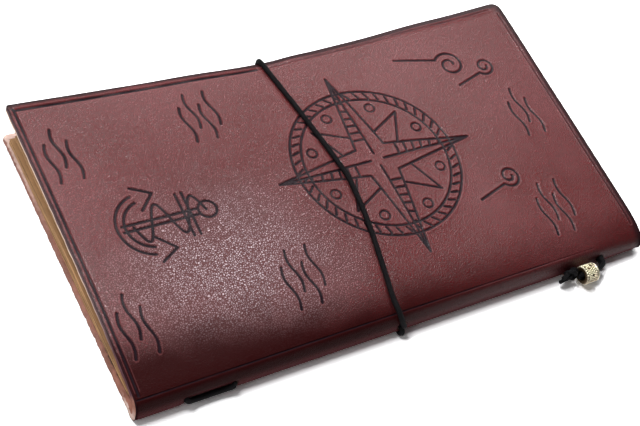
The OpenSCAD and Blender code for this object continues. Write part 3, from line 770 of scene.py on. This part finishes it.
def leather(name, edge, burnt):
    """Hide with a dyed pebbled outer side, cut edges and a suede inner side. edge is the colour of the
    front cover's cut edges, and burnt says how far the outer side is darkened towards its edges."""
    c = colours()
    material, tree, shader = new_material(name)
    blank, tool = attribute(tree, "blank", "Vector"), attribute(tree, "tooling_and_lip_highlight")
    x, v, depth = xyz(blank)
    pebble = effect("Pebble grain", pebble_grain, Vector=blank, Pebble=1300.0)
    dye = effect("Dye and rub", dye_and_rub, Vector=blank)
    nap = effect("Fibres", fibres, Vector=blank, Fineness=1900.0)
    burnish_shade_sheen = effect("Burnish, shade and sheen", burnish_shade_and_sheen, Vector=blank)
    mottle = nap["Mottle"]
    # Outer side, with painted shade in the creases between pebbles, and a painted sheen on the pebble tops
    # in a patch of the tail half where the grain is coarse
    outer = mix(dye["Clouds"], c.hide, c.hide_pale)
    outer = mix(dye["Scuffs"] * 0.25, outer, (0.19, 0.075, 0.075))
    # Painted shade: the creases between the pebbles are coloured darker
    outer = mix(pebble["Creases"] * 0.7, outer, (0.050, 0.008, 0.008))
    # Painted sheen: pale pebble tops in that patch
    outer = mix(ramp(pebble["Height"], 0.3, 1.0) * burnish_shade_sheen["Painted sheen"], outer, (0.55, 0.44, 0.475))
    # Darker dye and painted shade at the fold
    outer = mix(burnish_shade_sheen["Fold"] * 0.96, outer, c.fold_dye_and_shade)
    wall = ramp(v, -0.0025, -0.0065)
    outer = mix(wall * 0.9, outer, (0.112, 0.023, 0.026))
    outer = mix(burnish_shade_sheen["Edges"] * burnt, outer, mix(dye["Clouds"], c.burnish, (0.030, 0.013, 0.016)))
    # Painted highlight on the raised lips beside the tooled lines
    outer = mix(ramp(tool, -0.05, -0.3) * 0.35, outer, (0.25, 0.075, 0.08))
    outer = mix(ramp(tool, 0.08, 0.6), outer, mix(mottle, c.tooled, (0.026, 0.014, 0.018)))
    # Cut edge and suede
    is_edge, is_suede = ramp(depth, 0.00012, 0.0005), ramp(depth, 0.0022, 0.0026)
    edges = mix(ramp(v, 0.0005, 0.004), mottled(mottle, c.cut_edge, 0.65, 1.35),
                mottled(mottle, edge, 1, 1.35))
    suede = mottled(mottle, c.suede, 0.7, 1.25)
    if burnt > 0.6:
        # A painted highlight shows as a pale line along the front cover's lower rim at the tail
        rim_highlight = ramp(depth, 0.0015, 0.0019) * ramp(v, 0.01, 0.06) * ramp(x, -0.09, -0.105)
        edges = mix(rim_highlight, edges, (1.0, 0.80, 0.62))
        pale = ramp(v, -0.002, -0.009)
    else:
        # The back cover's flesh side is palest in the corner at the tail and fore edge
        corner = ramp(v, 0.07, 0.118) * ramp(x, -0.04, -0.1) * (mottle * 0.55 + 0.45)
        suede = mix(corner, suede, (0.86, 0.66, 0.58))
        # Deep shade under the lifted sheets beside the fold
        gap = ramp(x, -0.1094, -0.1086) * ramp(x, -0.095, -0.104)
        suede = mix(gap * (ramp(v, 0.055, 0.03) * ramp(v, 0.010, 0.015)), suede, (0.02, 0.01, 0.008))
        pale = ramp(v, 0.011, 0.004)
    edges = mix(pale * (mottle * 0.6 + 0.25), edges, (1.0, 0.78, 0.69))
    base = mix(is_suede, mix(is_edge, outer, edges), suede)
    # Finish: waxed outside, dull in the tooled lines and at the fold, dry inside
    tooled = math("MAXIMUM", tool, 0.0)
    waxed = pebble["Creases"] * 0.28 + 0.205 + dye["Clouds"] * 0.07 + tooled * 0.12
    dull = burnish_shade_sheen["Fold"] * 0.45 + tooled * 0.42 + burnish_shade_sheen["Edges"] * (0.3 * burnt)
    dull = math("MAXIMUM", dull, wall * 0.45)
    grain = pebble["Height"] * (1.0 - is_edge) * (1.0 - tool * 0.6) * burnish_shade_sheen["Coarse"]
    finish(shader, grain + nap["Height"] * (is_edge * 1.2), 0.00015, Base_Color=base,
           Roughness=math("ADD", waxed, is_edge * 0.38, clamp=True),
           Specular_IOR_Level=math("SUBTRACT", 0.5, dull, clamp=True))
    return material


def paper():
    c = colours()
    material, tree, shader = new_material("uncoated paper")
    blank, leaf_tone_and_shade = attribute(tree, "blank", "Vector"), attribute(tree, "leaf_tone_and_shade")
    nap = effect("Fibres", fibres, Vector=blank, Fineness=2600.0)
    base = mottled(nap["Mottle"], c.paper, 0.88, 1.1)
    base = mix(leaf_tone_and_shade * 0.9, base, [part * share for part, share in zip(c.paper, (0.26, 0.24, 0.22))])
    # The faces of the sheets show the paper's cream; their edges are a darker golden brown, painted shade
    # under the covers
    x, v, _ = xyz(blank)
    by_edge = math("MAXIMUM", ramp(math("ABSOLUTE", x), 0.1045, 0.1073),
                   ramp(math("ABSOLUTE", v), 0.1065, 0.1095))
    base = mix(by_edge, mix(nap["Mottle"], (0.70, 0.58, 0.38), (0.78, 0.68, 0.48)), base)
    # Painted shade: near black where the leaf value passes 1, in the gap under the lower booklet's lifted
    # tail end
    base = mix(ramp(leaf_tone_and_shade, 1.0, 2.0), base, (0.03, 0.016, 0.012))
    finish(shader, nap["Height"], 0.00006, Base_Color=base, Roughness=0.9, Specular_IOR_Level=0.2)
    return material


def elastic():
    c = colours()
    material, tree, shader = new_material("braided elastic")
    cord = effect("Braid", braid, UV=new_node(tree, "ShaderNodeUVMap", {}), Strands=6.0, Pitch=1.2)
    spot = new_node(tree, "ShaderNodeTexCoord", {}, "Object")
    nap = effect("Fibres", fibres, Vector=spot, Fineness=5000.0)
    # Painted shade in the gaps of the braid, and a painted highlight on its strands
    base = mottled(cord["Gaps"], c.elastic, 1.7, 0.4)
    base = mix(nap["Mottle"] * 0.25, base, [part * 3 for part in c.elastic])
    finish(shader, cord["Height"] + nap["Height"] * 0.35, 0.00016, Base_Color=base, Roughness=0.55,
           Specular_IOR_Level=0.15)
    return material


def brass():
    c = colours()
    material, tree, shader = new_material("granulated brass")
    spot = new_node(tree, "ShaderNodeTexCoord", {}, "Object")
    nap = effect("Fibres", fibres, Vector=spot, Fineness=3000.0)
    # Patina in the bead's hollows, and painted shade on the face beside the knot
    base = mix(attribute(tree, "patina_and_shade"), mottled(nap["Mottle"], c.brass, 0.86, 1.12), (0.10, 0.062, 0.03))
    finish(shader, nap["Height"], 0.00005, Base_Color=base, Metallic=0.82,
           Roughness=nap["Mottle"] * 0.15 + 0.3)
    return material


def material_once(name, build):
    return bpy.data.materials.get(name) or build()


# ---- operators

def rim_distance(x, v):
    """Distance to the nearest end or to the fore edge of a cover."""
    return np.minimum(COVER_L / 2 - np.abs(x), COVER_W - v)


def channel_roof(x, width):
    """Height of the channel that the closure elastic has pressed under the journal."""
    return np.maximum(np.sqrt(np.maximum(width ** 2 - (x - CLOSURE_X) ** 2, 0)) - 0.6, 0)


class JOURNAL_OT_leather_wrap(bpy.types.Operator):
    """Cut, punch and tool the front cover with the spine, and mould it round the booklets"""
    bl_idname = "journal.leather_wrap"
    bl_label = "Leather wrap"

    def execute(self, context):
        obj = cover_blank("leather_wrap", SEAM_V)
        for x, r in ((TAIL_HOLE_X, STRAND_HOLE_R), (INNER_HOLE_X, STRAND_HOLE_R),
                     (CLOSURE_X, PAIR_HOLE_R), (HEAD_HOLE_X, PAIR_HOLE_R)):
            punch(obj, x, HOLE_V, r)
        rub_rims(obj, sizes().rim_r / MM, SEAM_V)
        slice_blank(obj, 0, np.linspace(-COVER_L / 2, COVER_L / 2, 81)[1:-1])
        slice_blank(obj, 1, np.r_[np.arange(SEAM_V + 0.7, 5, 0.75), np.arange(5.5, COVER_W - 1, 2.75)])
        strokes = tooled_strokes()
        for reach in (2.1, 1.0, 0.5):
            refine(obj, lambda x, v: stroke_field(x, v, strokes)[0] < reach)
        refine(obj, lambda x, v: (np.abs(x - CLOSURE_X) < 4) & (v < -7))
        x, v, depth = blank_places(obj)
        outside = depth < 0.01
        near, cut = stroke_field(x, v, strokes)
        uneven = (0.84 + 0.16 * np.sin(x / 3.9 + 2 * np.sin(v / 6.3))
                  * np.sin(v / 3.4 + 1.7 * np.sin(x / 7.1)))
        cut = np.where(outside, cut * uneven, 0)
        lip = outside * np.exp(-((near - 0.3) / 0.27) ** 2) * (near > 0.02) * smooth((v - 2.4) / 1.5)
        s, top = softened(x, v, 0.9)
        n = wrap_normals(x, v)
        sink = depth + sizes().tool_d / MM * cut - LIP_H * lip
        # The elastic lies in a shallow dent across the cover
        beside = x - elastic_x(v)
        sink = sink + np.where((v > 3) & outside, DENT_D * np.exp(-(beside / 1.5) ** 2), 0)
        sink = sink + np.where(v > 0, waviness(x, v) * smooth(v / 12), 0)
        sink = sink + np.where(outside, 0.25 * np.exp(-(rim_distance(x, v) / 1.2) ** 2), 0)
        # The binding elastic has pressed its outer run into the spine
        within = smooth((x - TAIL_HOLE_X) / 3 + 0.3) * smooth((INNER_HOLE_X - x) / 3 + 0.3)
        beside = v - (-WALL_L + (BIGHT_Z - FOLD_R))
        sink = sink + RUN_DENT_D * within * np.exp(-(beside / np.where(beside < 0, 4.0, 2.2)) ** 2)
        p = np.stack([x, CREASE_Y + s, top], 1) - sink[:, None] * n
        # Room for the elastic where it turns into the channel under the fold
        under = (v < -8) & (depth < 1.2)
        p[:, 2] = np.where(under, np.maximum(p[:, 2], channel_roof(x, 2.1)), p[:, 2])
        # The fore edge is slightly wavy, with a small rise beside the elastic
        edge_wave = 0.45 * np.exp(-((x - 9) / 7) ** 2) + 0.25 * np.sin(x / 11 + 1) * np.sin(x / 27)
        p[:, 2] += edge_wave * smooth((v - 96) / 24)
        fray = 0.12 * np.sin(v / 1.9) + 0.1 * np.sin(v / 0.83 + 1) * (depth / LEATHER_T)
        p[:, 0] += np.where(np.abs(x) > COVER_L / 2 - 1, -np.abs(fray) * np.sign(x), 0)
        note_blank(obj, x, v, depth)
        # Below zero the value marks the lips beside the tooled lines, which get a painted highlight
        note(obj, "tooling_and_lip_highlight", cut - 0.3 * lip * (cut < 0.05))
        set_places(obj, p)
        finish_surface(obj, leather("waxed leather", [0.105, 0.050, 0.058], 0.9), 42)
        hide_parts("front_cover")
        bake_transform(obj)
        return {"FINISHED"}


class JOURNAL_OT_back_cover(bpy.types.Operator):
    """Cut the back cover, suede side up, with the channel that the elastic has pressed into it"""
    bl_idname = "journal.back_cover"
    bl_label = "Back cover"

    def execute(self, context):
        obj = cover_blank("back_cover", SEAM_S)
        rub_rims(obj, sizes().rim_r / MM, SEAM_S)
        slice_blank(obj, 0, np.r_[np.linspace(-COVER_L / 2, COVER_L / 2, 61)[1:-1],
                                  CLOSURE_X + np.array([-3, -2, -1.5, -1, -0.5, 0, 0.5, 1, 1.5, 2, 3])])
        slice_blank(obj, 1, np.arange(SEAM_S + 1, COVER_W - 1, 0.9))
        x, v, depth = blank_places(obj)
        roof = channel_roof(x, np.where(v > COVER_W - 2.3, 2.8, 2.1))
        lift = np.where(depth < 1.2, np.maximum(depth, roof), depth)
        inside = depth > LEATHER_T - 0.01
        nap = 0.10 * np.sin(x * 1.7 + 3 * np.sin(v * 0.9)) * np.sin(v * 1.3 + 2 * np.sin(x * 0.7))
        lift = lift + np.where(inside, (nap - 0.05) * smooth(1.2 - rim_distance(x, v) / 8), 0)
        p = np.stack([x, CREASE_Y + v, lift], 1)
        fray = np.abs(0.5 * np.sin(v / 2.3) * np.sin(v / 0.9 + 1) + 0.3 * np.sin(v / 7.1)
                      + 0.25 * np.sin(3.1 * v + np.sin(v)))
        fray = fray * (0.35 + 0.65 * depth / LEATHER_T)
        p[:, 0] += np.where(np.abs(x) > COVER_L / 2 - 1, -fray * np.sign(x), 0)
        note_blank(obj, x, v, depth)
        note(obj, "tooling_and_lip_highlight", np.zeros(len(x)))
        set_places(obj, p)
        face_outwards()
        finish_surface(obj, leather("raw-edged leather", colours().cut_edge, 0.5), 42)
        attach(obj, "journal")
        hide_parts("back_cover_and_spine")
        return {"FINISHED"}


# How dark the sheets of a booklet are, from the outermost in: bundles of darker and of paler sheets
LEAF_TONES = (0.55, 0.0, 0.15, 0.95, 1.0, 0.1, 0.0, 0.6)


def deckle(x, seed, rough):
    """Uneven torn edge of handmade paper."""
    rng = np.random.RandomState(seed)
    total = np.zeros_like(x)
    for k in range(6):
        total += rng.uniform(0.3, 1) * np.sin(x / rng.uniform(1.5, 16) + rng.uniform(0, 6.28))
    return rough * total


class JOURNAL_OT_booklets(bpy.types.Operator):
    """Fold the sheets of both booklets and nest them in each other"""
    bl_idname = "journal.booklets"
    bl_label = "Booklets"

    def execute(self, context):
        blank = flat_blank("sheet", -SHEET_HALF, SHEET_HALF, -LEAF_W, LEAF_W, 1.0)
        slice_blank(blank, 0, np.r_[-107, -106, np.linspace(-104, 104, 27), 106, 107])
        bends = [0, 0.5, 1, 1.5, 2, 3, 5, 8, 12, 18, 26, 36, 48, 60, 72, 84, 94, 102, 106, 108.5, 109.5]
        slice_blank(blank, 1, sorted({s * side for s in bends for side in (-1, 1)}))
        material = material_once("uncoated paper", paper)
        for name, step, x0 in (("lower_booklet", 0.0, TAIL_HOLE_X), ("upper_booklet", 1.2, INNER_HOLE_X)):
            leaves = []
            for k in range(sizes().sheets):
                obj = copied(blank)
                x, v, depth = blank_places(obj)
                share = (k + 0.14 + 0.7 * depth) / sizes().sheets
                seed = sizes().seed + 31 * k + (500 if name == "upper_booklet" else 0)
                reach = np.maximum(np.abs(v) - 2, 0)
                edge = 0.6 * share - step + deckle(x, seed + (v > 0) * 11, 0.11)
                s = np.where(np.abs(v) < 2, 8.5 - 2 * (1 - share) * np.cos(v / 2 * np.pi / 2), 8.5 + reach)
                s = s + edge * smooth(np.abs(v) / LEAF_W)
                low, high = np.full_like(s, LEATHER_T), stack_mid(s) - 0.05
                if name == "upper_booklet":
                    low, high = stack_mid(s) + 0.05, stack_top(s)
                mid, tall = (low + high) / 2, (high - low) / 2
                # The gutter opens round the cord
                room = 0.76 * np.exp(-((s - GUTTER_S) / 1.6) ** 2)
                room = room * smooth((x - x0) / 3 + 1) * smooth((HEAD_HOLE_X - x) / 3 + 1)
                off = room + (tall - room) * (1 - share)
                turn = np.where(np.abs(v) < 2, np.sin(v / 2 * np.pi / 2), np.sign(v))
                height = mid + off * turn
                if name == "lower_booklet":
                    # The tail end stands out and lifts off the back cover beside the fold
                    tail = smooth((-x - 30) / 75)
                    loose = (high + 0.6 - height) / (high - low + 0.6)
                    height = height + tail * 1.2 * np.exp(-((s - 6) / 17) ** 2) * loose
                    x = x - 1.3 * tail
                ragged = np.maximum(np.abs(x) - 104, 0) / 3.5 * deckle(v + 200, seed + 5, 0.07)
                note_blank(obj, x, v, depth)
                # Shade in the gap under the lifted tail end
                shade = 1.3 * smooth((38 - s) / 22) * (turn < 0) * (k < 2) * (name == "lower_booklet")
                note(obj, "leaf_tone_and_shade", LEAF_TONES[k % len(LEAF_TONES)] + shade)
                set_places(obj, np.stack([x + np.sign(x) * ragged, CREASE_Y + s, height], 1))
                leaves.append(obj)
            obj = join(leaves, name + "_sheets")
            face_outwards()
            finish_surface(obj, material)
            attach(obj, "journal")
            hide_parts(name)
        bpy.data.objects.remove(blank)
        return {"FINISHED"}


def quarter(x, z, start):
    """A quarter turn from the gutter towards the spine, in three steps."""
    return [[x + GUTTER_R * np.cos(a), GUTTER_S - GUTTER_R + GUTTER_R * np.sin(a), z]
            for a in np.radians(start + 30.0 * np.arange(1, 4))]


BEAD_L, BEAD_R = 6.3, 3.85
BEAD_X, BEAD_S, BEAD_Z = HEAD_HOLE_X - 9.1, -BULGE - 0.1 - BEAD_R, 8.65 - BEAD_R
KNOT_X = BEAD_X - BEAD_L / 2 - 4
GUTTER_S, GUTTER_R = 11.0, 4.0
LOWER_Z = (LEATHER_T + stack_mid(GUTTER_S)) / 2
UPPER_Z = (stack_mid(GUTTER_S) + stack_top(GUTTER_S)) / 2


def hole_entry(x, z, deep):
    return [[x, -0.2, z], [x, 2, z + (deep - z) * 0.08], [x, 4.6, z + (deep - z) * 0.8],
            [x, GUTTER_S - GUTTER_R, deep]]


def head_run(zs, zb, deep):
    h = HEAD_HOLE_X
    return [[KNOT_X + 3.4, BEAD_S + 0.4, zb], [BEAD_X - BEAD_L / 2, BEAD_S, zb],
            [BEAD_X + BEAD_L / 2, BEAD_S, zb], [h - 2.4, BEAD_S + 0.5, zb + (zs - zb) * 0.3],
            [h - 0.5, BEAD_S + 1.6, zb + (zs - zb) * 0.75], [h, BEAD_S + 3.1, zs]] + hole_entry(h, zs, deep)


def gutter_run(x0, z):
    x1, x0 = HEAD_HOLE_X - GUTTER_R, x0 + GUTTER_R
    straight = [[x, GUTTER_S, z] for x in np.linspace(x1 - 7, x0, 19)]
    return quarter(x1, z, 0) + straight + quarter(x0, z, 90)


def binding_route():
    """From the knot through the bead and the head hole, along the lower booklet's gutter, out and in
    again at the tail, and back through the upper booklet."""
    t, i = TAIL_HOLE_X, INNER_HOLE_X
    bend = [(0.4, -0.2 - BULGE, HOLE_Z - 0.6), (2, -0.05 - BULGE, HOLE_Z - 1.4),
            (5.5, 0.15 - BULGE, BIGHT_Z)]
    bight = [[t + x, s, z] for x, s, z in bend] + [[i - x, s, z] for x, s, z in bend[::-1]]
    return (head_run(HOLE_Z - 0.95, BEAD_Z - 0.95, LOWER_Z) + gutter_run(t, LOWER_Z)
            + hole_entry(t, HOLE_Z, LOWER_Z)[2::-1] + bight + hole_entry(i, HOLE_Z, UPPER_Z)
            + gutter_run(i, UPPER_Z)[::-1] + head_run(HOLE_Z + 0.95, BEAD_Z + 0.95, UPPER_Z)[::-1])


def binding_radius(x, s, z):
    """Thinnest where the cord is stretched through the gutters."""
    return 0.7 if s > 6 else 0.8 if s > 3 else 0.9 if x > 0 or s > -0.5 else 1.0


def knot_path(size, n=150):
    k = np.linspace(0, 2 * np.pi, n + 1)[:-1]
    return size * np.stack([(2 + np.cos(3 * k)) * np.cos(2 * k), np.sin(3 * k),
                            (2 + np.cos(3 * k)) * np.sin(2 * k)], 1)


class JOURNAL_OT_binding_elastic(bpy.types.Operator):
    """Lead the binding elastic through the bead, the spine holes and both gutters, and tie its knot"""
    bl_idname = "journal.binding_elastic"
    bl_label = "Binding elastic"

    def execute(self, context):
        material = material_once("braided elastic", elastic)
        points = binding_route()
        path, radius = resample(in_frame(points), 0.7, [binding_radius(*p) for p in points])
        obj = tube("binding_cord", path, radius)
        finish_surface(obj, material)
        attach(obj, "journal")
        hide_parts("binding_elastic")
        centre = in_frame([KNOT_X, BEAD_S + 1.9, BEAD_Z])
        pieces = [tube("knot", knot_path(0.95) + centre, 0.87, closed=True)]
        for side in (-1, 1):
            tail = centre + [[-2, 0, 1.2 * side], [-3, -0.4, 1.5 * side], [-4.1, -0.8, 1.4 * side],
                             [-5.4, -1, 1.2 * side - 0.3]]
            pieces.append(tube("tail", resample(tail, 0.4), 0.85))
        knot = join(pieces, "binding_cord_knot")
        finish_surface(knot, material)
        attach(knot, "journal")
        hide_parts("binding_knot")
        return {"FINISHED"}


def closure_sides(s, z):
    """Half width and half height: pressed flat under the journal, and squeezed in its hole."""
    if z < 0.9:
        return 1.3, 0.62
    in_hole = OUTER_S + 0.5 < s < 3 and 3.6 < z < 6.6
    return (0.9, 0.9) if in_hole else (1.0, 1.0)


def closure_route():
    """Out of the upper half of the hole, over the crease and the cover, round the fore edge, back
    under the journal and into the lower half of the same hole. Also the half widths and heights."""
    c, b = CLOSURE_X, BULGE
    fx, fs = c + 0.6, COVER_W + 1.1
    top = float(cover_top(np.array([fx]), np.array([COVER_W]))[0])
    out = [[c, 2.6, 5.95], [c, 0.3, 5.95], [c, -b - 0.2, 6.05], [c - 0.5, OUTER_S + 0.1, 7.2],
           [c - 1.2, OUTER_S + 0.8, SPINE_H - 1.4], [c - 1.9, -1.2, SPINE_H + 0.55],
           [c - 2.3, 0.6, SPINE_H + 2.1]]
    over = [[x, s, float(cover_top(np.array([x]), np.array([s]))[0]) + 0.86 + (0.3 if s < 10 else 0)]
            for s, x in CROSS]
    turn = [[-5, COVER_W - 1.5, top + 1.1], [fx, COVER_W + 0.4, top + 1.0], [fx, COVER_W + 1, top + 0.4],
            [fx, fs, top - 0.6], [fx, fs, top - 4], [fx, fs, 4.5], [c + 0.4, fs, 2],
            [c + 0.3, COVER_W + 0.35, 0.95], [c + 0.2, COVER_W - 1.2, 0.72]]
    under = [[c, COVER_W * (1 - k / 12.6) - 1, 0.72] for k in range(1, 13)]
    back = [[c, 1.8 - b, 0.72], [c, 0.3 - b, 0.95], [c, -b - 0.9, 1.7], [c, OUTER_S - 0.1, 3],
            [c, -b - 0.2, 3.95], [c, 0.3, 4.05], [c, 2.6, 4.05]]
    points = out + over + turn + under + back
    return points, [closure_sides(s, z) for x, s, z in points]


class JOURNAL_OT_closure_elastic(bpy.types.Operator):
    """Stretch the closure elastic round the journal and tie its knot inside the spine"""
    bl_idname = "journal.closure_elastic"
    bl_label = "Closure elastic"

    def execute(self, context):
        material = material_once("braided elastic", elastic)
        points, sides = closure_route()
        (path, wide), (_, high) = (resample(in_frame(points), 0.6, side) for side in zip(*sides))
        obj = tube("closure_cord", path, wide, 14, side=(1, 0, 0), flat=high)
        finish_surface(obj, material)
        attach(obj, "journal")
        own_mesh(obj)
        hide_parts("closure_elastic")
        centre = in_frame([CLOSURE_X, 4.2, HOLE_Z + 0.15])
        knot = tube("closure_cord_knot", knot_path(0.58) + centre, 0.5, 10, closed=True)
        finish_surface(knot, material)
        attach(knot, "journal")
        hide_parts("closure_knot")
        return {"FINISHED"}


class JOURNAL_OT_bead(bpy.types.Operator):
    """Turn the bead, notch its rim and cover its middle with granules"""
    bl_idname = "journal.bead"
    bl_label = "Bead"

    def execute(self, context):
        centre = in_frame([BEAD_X, BEAD_S, BEAD_Z])
        r, h = BEAD_R, BEAD_L / 2
        half = np.array([[h, 2.12], [h, r - 0.9], [h - 0.05, r - 0.35], [h - 0.25, r - 0.08], [h - 0.5, r],
                         [h - 0.8, r - 0.08], [h - 1, r - 0.4], [h - 1.35, r - 0.55], [h - 2.1, r - 0.47]])
        profile = np.concatenate([half * [-1, 1], [[0, r - 0.45]], half[::-1],
                                  [[1.6, 2.1], [0, 2.1], [-1.6, 2.1]]])
        bpy.ops.mesh.primitive_circle_add(vertices=len(profile), radius=0.001, fill_type="NOTHING")
        obj = added("granulated_bead")
        co = places(obj)
        order = np.argsort(-np.arctan2(co[:, 1], co[:, 0]))
        co[order] = np.stack([profile[:, 0], 0 * profile[:, 0], profile[:, 1]], 1)
        set_places(obj, co + centre)
        bpy.ops.object.mode_set(mode="EDIT")
        bpy.ops.mesh.select_all(action="SELECT")
        bpy.ops.mesh.spin(steps=84, angle=2 * np.pi, center=tuple(centre * MM), axis=(1, 0, 0))
        bpy.ops.object.mode_set(mode="OBJECT")
        face_outwards(2e-6)
        co = places(obj) - centre
        out = np.hypot(co[:, 1], co[:, 2])
        a = np.arctan2(co[:, 2], co[:, 1])
        tooth = np.abs(((a * 21 / np.pi) % 2) - 1)
        deep = np.where(co[:, 0] < -h + 0.9, 0.4, np.where(co[:, 0] > h - 0.9, 0.1, 0))
        notch = deep * (out > r - 0.45) * smooth(tooth * 1.6 - 0.3)
        co[:, 1:] *= (1 - notch / np.maximum(out, 0.1))[:, None]
        out = np.hypot(co[:, 1], co[:, 2])
        set_places(obj, co + centre)
        waist = (np.abs(co[:, 0]) < h - 0.95) & (out < r - 0.3)
        patina_and_shade = np.where(waist, 1.0, smooth((r - 0.2 - out) / 0.3) * 0.8)
        # Painted shade on the face beside the knot
        patina_and_shade = np.maximum(patina_and_shade, (co[:, 0] < -h + 0.2) & (out < r - 0.5))
        note(obj, "patina_and_shade", patina_and_shade)
        bpy.ops.mesh.primitive_ico_sphere_add(subdivisions=2, radius=0.43 * MM)
        grain = added("granule")
        pieces = [obj]
        rng = np.random.RandomState(sizes().seed)
        for row in range(5):
            for k in range(24):
                # A few granules are lost or worn down
                if rng.uniform() < 0.1:
                    continue
                sink = rng.uniform(0.38, 0.52)
                angle = 2 * np.pi / 24 * (k + (row % 2) / 2)
                granule = copied(grain)
                spot = [(row - 2) * 0.86, (r - sink) * np.cos(angle), (r - sink) * np.sin(angle)]
                set_places(granule, places(grain) + centre + spot)
                note(granule, "patina_and_shade", np.zeros(len(grain.data.vertices)))
                pieces.append(granule)
        bpy.data.objects.remove(grain)
        obj = join(pieces, "granulated_bead")
        finish_surface(obj, brass())
        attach(obj, "journal")
        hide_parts("bead")
        return {"FINISHED"}


class JOURNAL_OT_stage(bpy.types.Operator):
    """Lay the white floor, and set the lamps and the camera"""
    bl_idname = "journal.stage"
    bl_label = "Stage"

    def execute(self, context):
        scene = context.scene
        scene.view_settings.view_transform = "Standard"
        bpy.ops.mesh.primitive_plane_add(size=6, location=(0, 0, -0.0001))
        floor = added("floor")
        material, tree, shader = new_material("white floor")
        # The camera sees the floor brighter than it lights the journal, so it is white up to the shadow
        seen = new_node(tree, "ShaderNodeLightPath", {}, "Is Camera Ray")
        white = mix(seen, colours().backdrop, (1.9, 1.9, 1.92))
        matt = new_node(tree, "ShaderNodeBsdfDiffuse", {"Color": white})
        # Far from the journal, where the lamps fade, it stays white to the camera
        far = vectors("LENGTH", new_node(tree, "ShaderNodeNewGeometry", {}, "Position"), out="Value")
        glow = new_node(tree, "ShaderNodeEmission",
                        {"Color": (1, 1, 1, 1), "Strength": ramp(far, 0.22, 0.6) * seen})
        tree.nodes.remove(shader)
        plug(tree.nodes["Material Output"].inputs["Surface"],
             new_node(tree, "ShaderNodeAddShader", {0: matt, 1: glow}))
        floor.data.materials.append(material)

        world = bpy.data.worlds.new("white room")
        scene.world = world
        world.use_nodes = True
        sky = world.node_tree.nodes["Background"].inputs
        # The camera sees white; the object is lit by a dimmer room
        seen = new_node(world.node_tree, "ShaderNodeLightPath", {}, "Is Camera Ray")
        plug(sky["Strength"], seen * 0.955 + 0.045)
        plug(sky["Color"], (1, 1, 1, 1))

        def mount(name, data, where, *axes):
            """Put a lamp or camera at a place, its axes right, up and back given."""
            obj = bpy.data.objects.new(name, data)
            scene.collection.objects.link(obj)
            pose = Matrix(axes).transposed().to_4x4()
            pose.translation = where
            obj.matrix_world = pose
            return obj

        # Soft lamps: their place, what they aim at, their length along the spine, width and power
        for name, where, aim, long, wide, power in (
                ("key", (0.56, 0.76, 0.78), (0, 0.02, 0), 1.0, 0.62, 6.2),
                ("near lamp", (0.080, 0.108, 0.312), (-0.06, -0.02, 0.014), 0.06, 0.04, 0.5),
                ("window", (-0.45, 0.32, 1.05), (0, 0, 0), 0.42, 0.42, 9.5),
                ("tail side", (-0.60, -0.13, 0.27), (-0.08, -0.02, 0), 0.3, 0.3, 0.75)):
            data = bpy.data.lights.new(name, "AREA")
            data.shape, data.size, data.size_y, data.energy = "RECTANGLE", long, wide, power
            back = (Vector(where) - Vector(aim)).normalized()
            along = (Vector((1, 0, 0)) - back * back.x).normalized()
            mount(name, data, where, along, back.cross(along), back)

        a, e, roll, reach = np.radians(-46.6), np.radians(50.59), np.radians(23.49), 0.4896
        back = Vector((np.sin(a) * np.cos(e), -np.cos(a) * np.cos(e), np.sin(e)))
        right = (-back).cross(Vector((0, 0, 1))).normalized()
        up = right.cross(-back)
        data = bpy.data.cameras.new("camera")
        data.sensor_width, data.lens, data.clip_start = 36, 72.48, 0.01
        scene.camera = mount("camera", data, Vector((-0.0087, -0.0011, 0)) + back * reach,
                             np.cos(roll) * right + np.sin(roll) * up,
                             np.cos(roll) * up - np.sin(roll) * right, back)
        return {"FINISHED"}


class JOURNAL_PT_sidebar(bpy.types.Panel):
    """Sizes, colours and pieces of the journal"""
    bl_idname = "JOURNAL_PT_sidebar"
    bl_label = "Leather journal"
    bl_space_type = "VIEW_3D"
    bl_region_type = "UI"
    bl_category = "Journal"

    def draw(self, context):
        for props in (context.scene.journal_sizes, context.scene.journal_colours):
            box = self.layout.box()
            for name in props.bl_rna.properties.keys():
                if name not in ("rna_type", "name"):
                    box.prop(props, name)
        for step in STEPS:
            self.layout.operator(step.bl_idname)


STEPS = (JOURNAL_OT_stage, JOURNAL_OT_leather_wrap, JOURNAL_OT_back_cover, JOURNAL_OT_booklets,
         JOURNAL_OT_binding_elastic, JOURNAL_OT_closure_elastic, JOURNAL_OT_bead)
CLASSES = (JournalSizes, JournalColours, *STEPS, JOURNAL_PT_sidebar)


def register():
    for cls in CLASSES:
        bpy.utils.register_class(cls)
    bpy.types.Scene.journal_sizes = PointerProperty(type=JournalSizes)
    bpy.types.Scene.journal_colours = PointerProperty(type=JournalColours)


def unregister():
    del bpy.types.Scene.journal_colours
    del bpy.types.Scene.journal_sizes
    for cls in reversed(CLASSES):
        bpy.utils.unregister_class(cls)


def main():
    register()
    bpy.ops.journal.stage()
    bpy.ops.journal.leather_wrap()
    bpy.ops.journal.back_cover()
    bpy.ops.journal.booklets()
    bpy.ops.journal.binding_elastic()
    bpy.ops.journal.closure_elastic()
    bpy.ops.journal.bead()


if __name__ == "__main__":
    main()
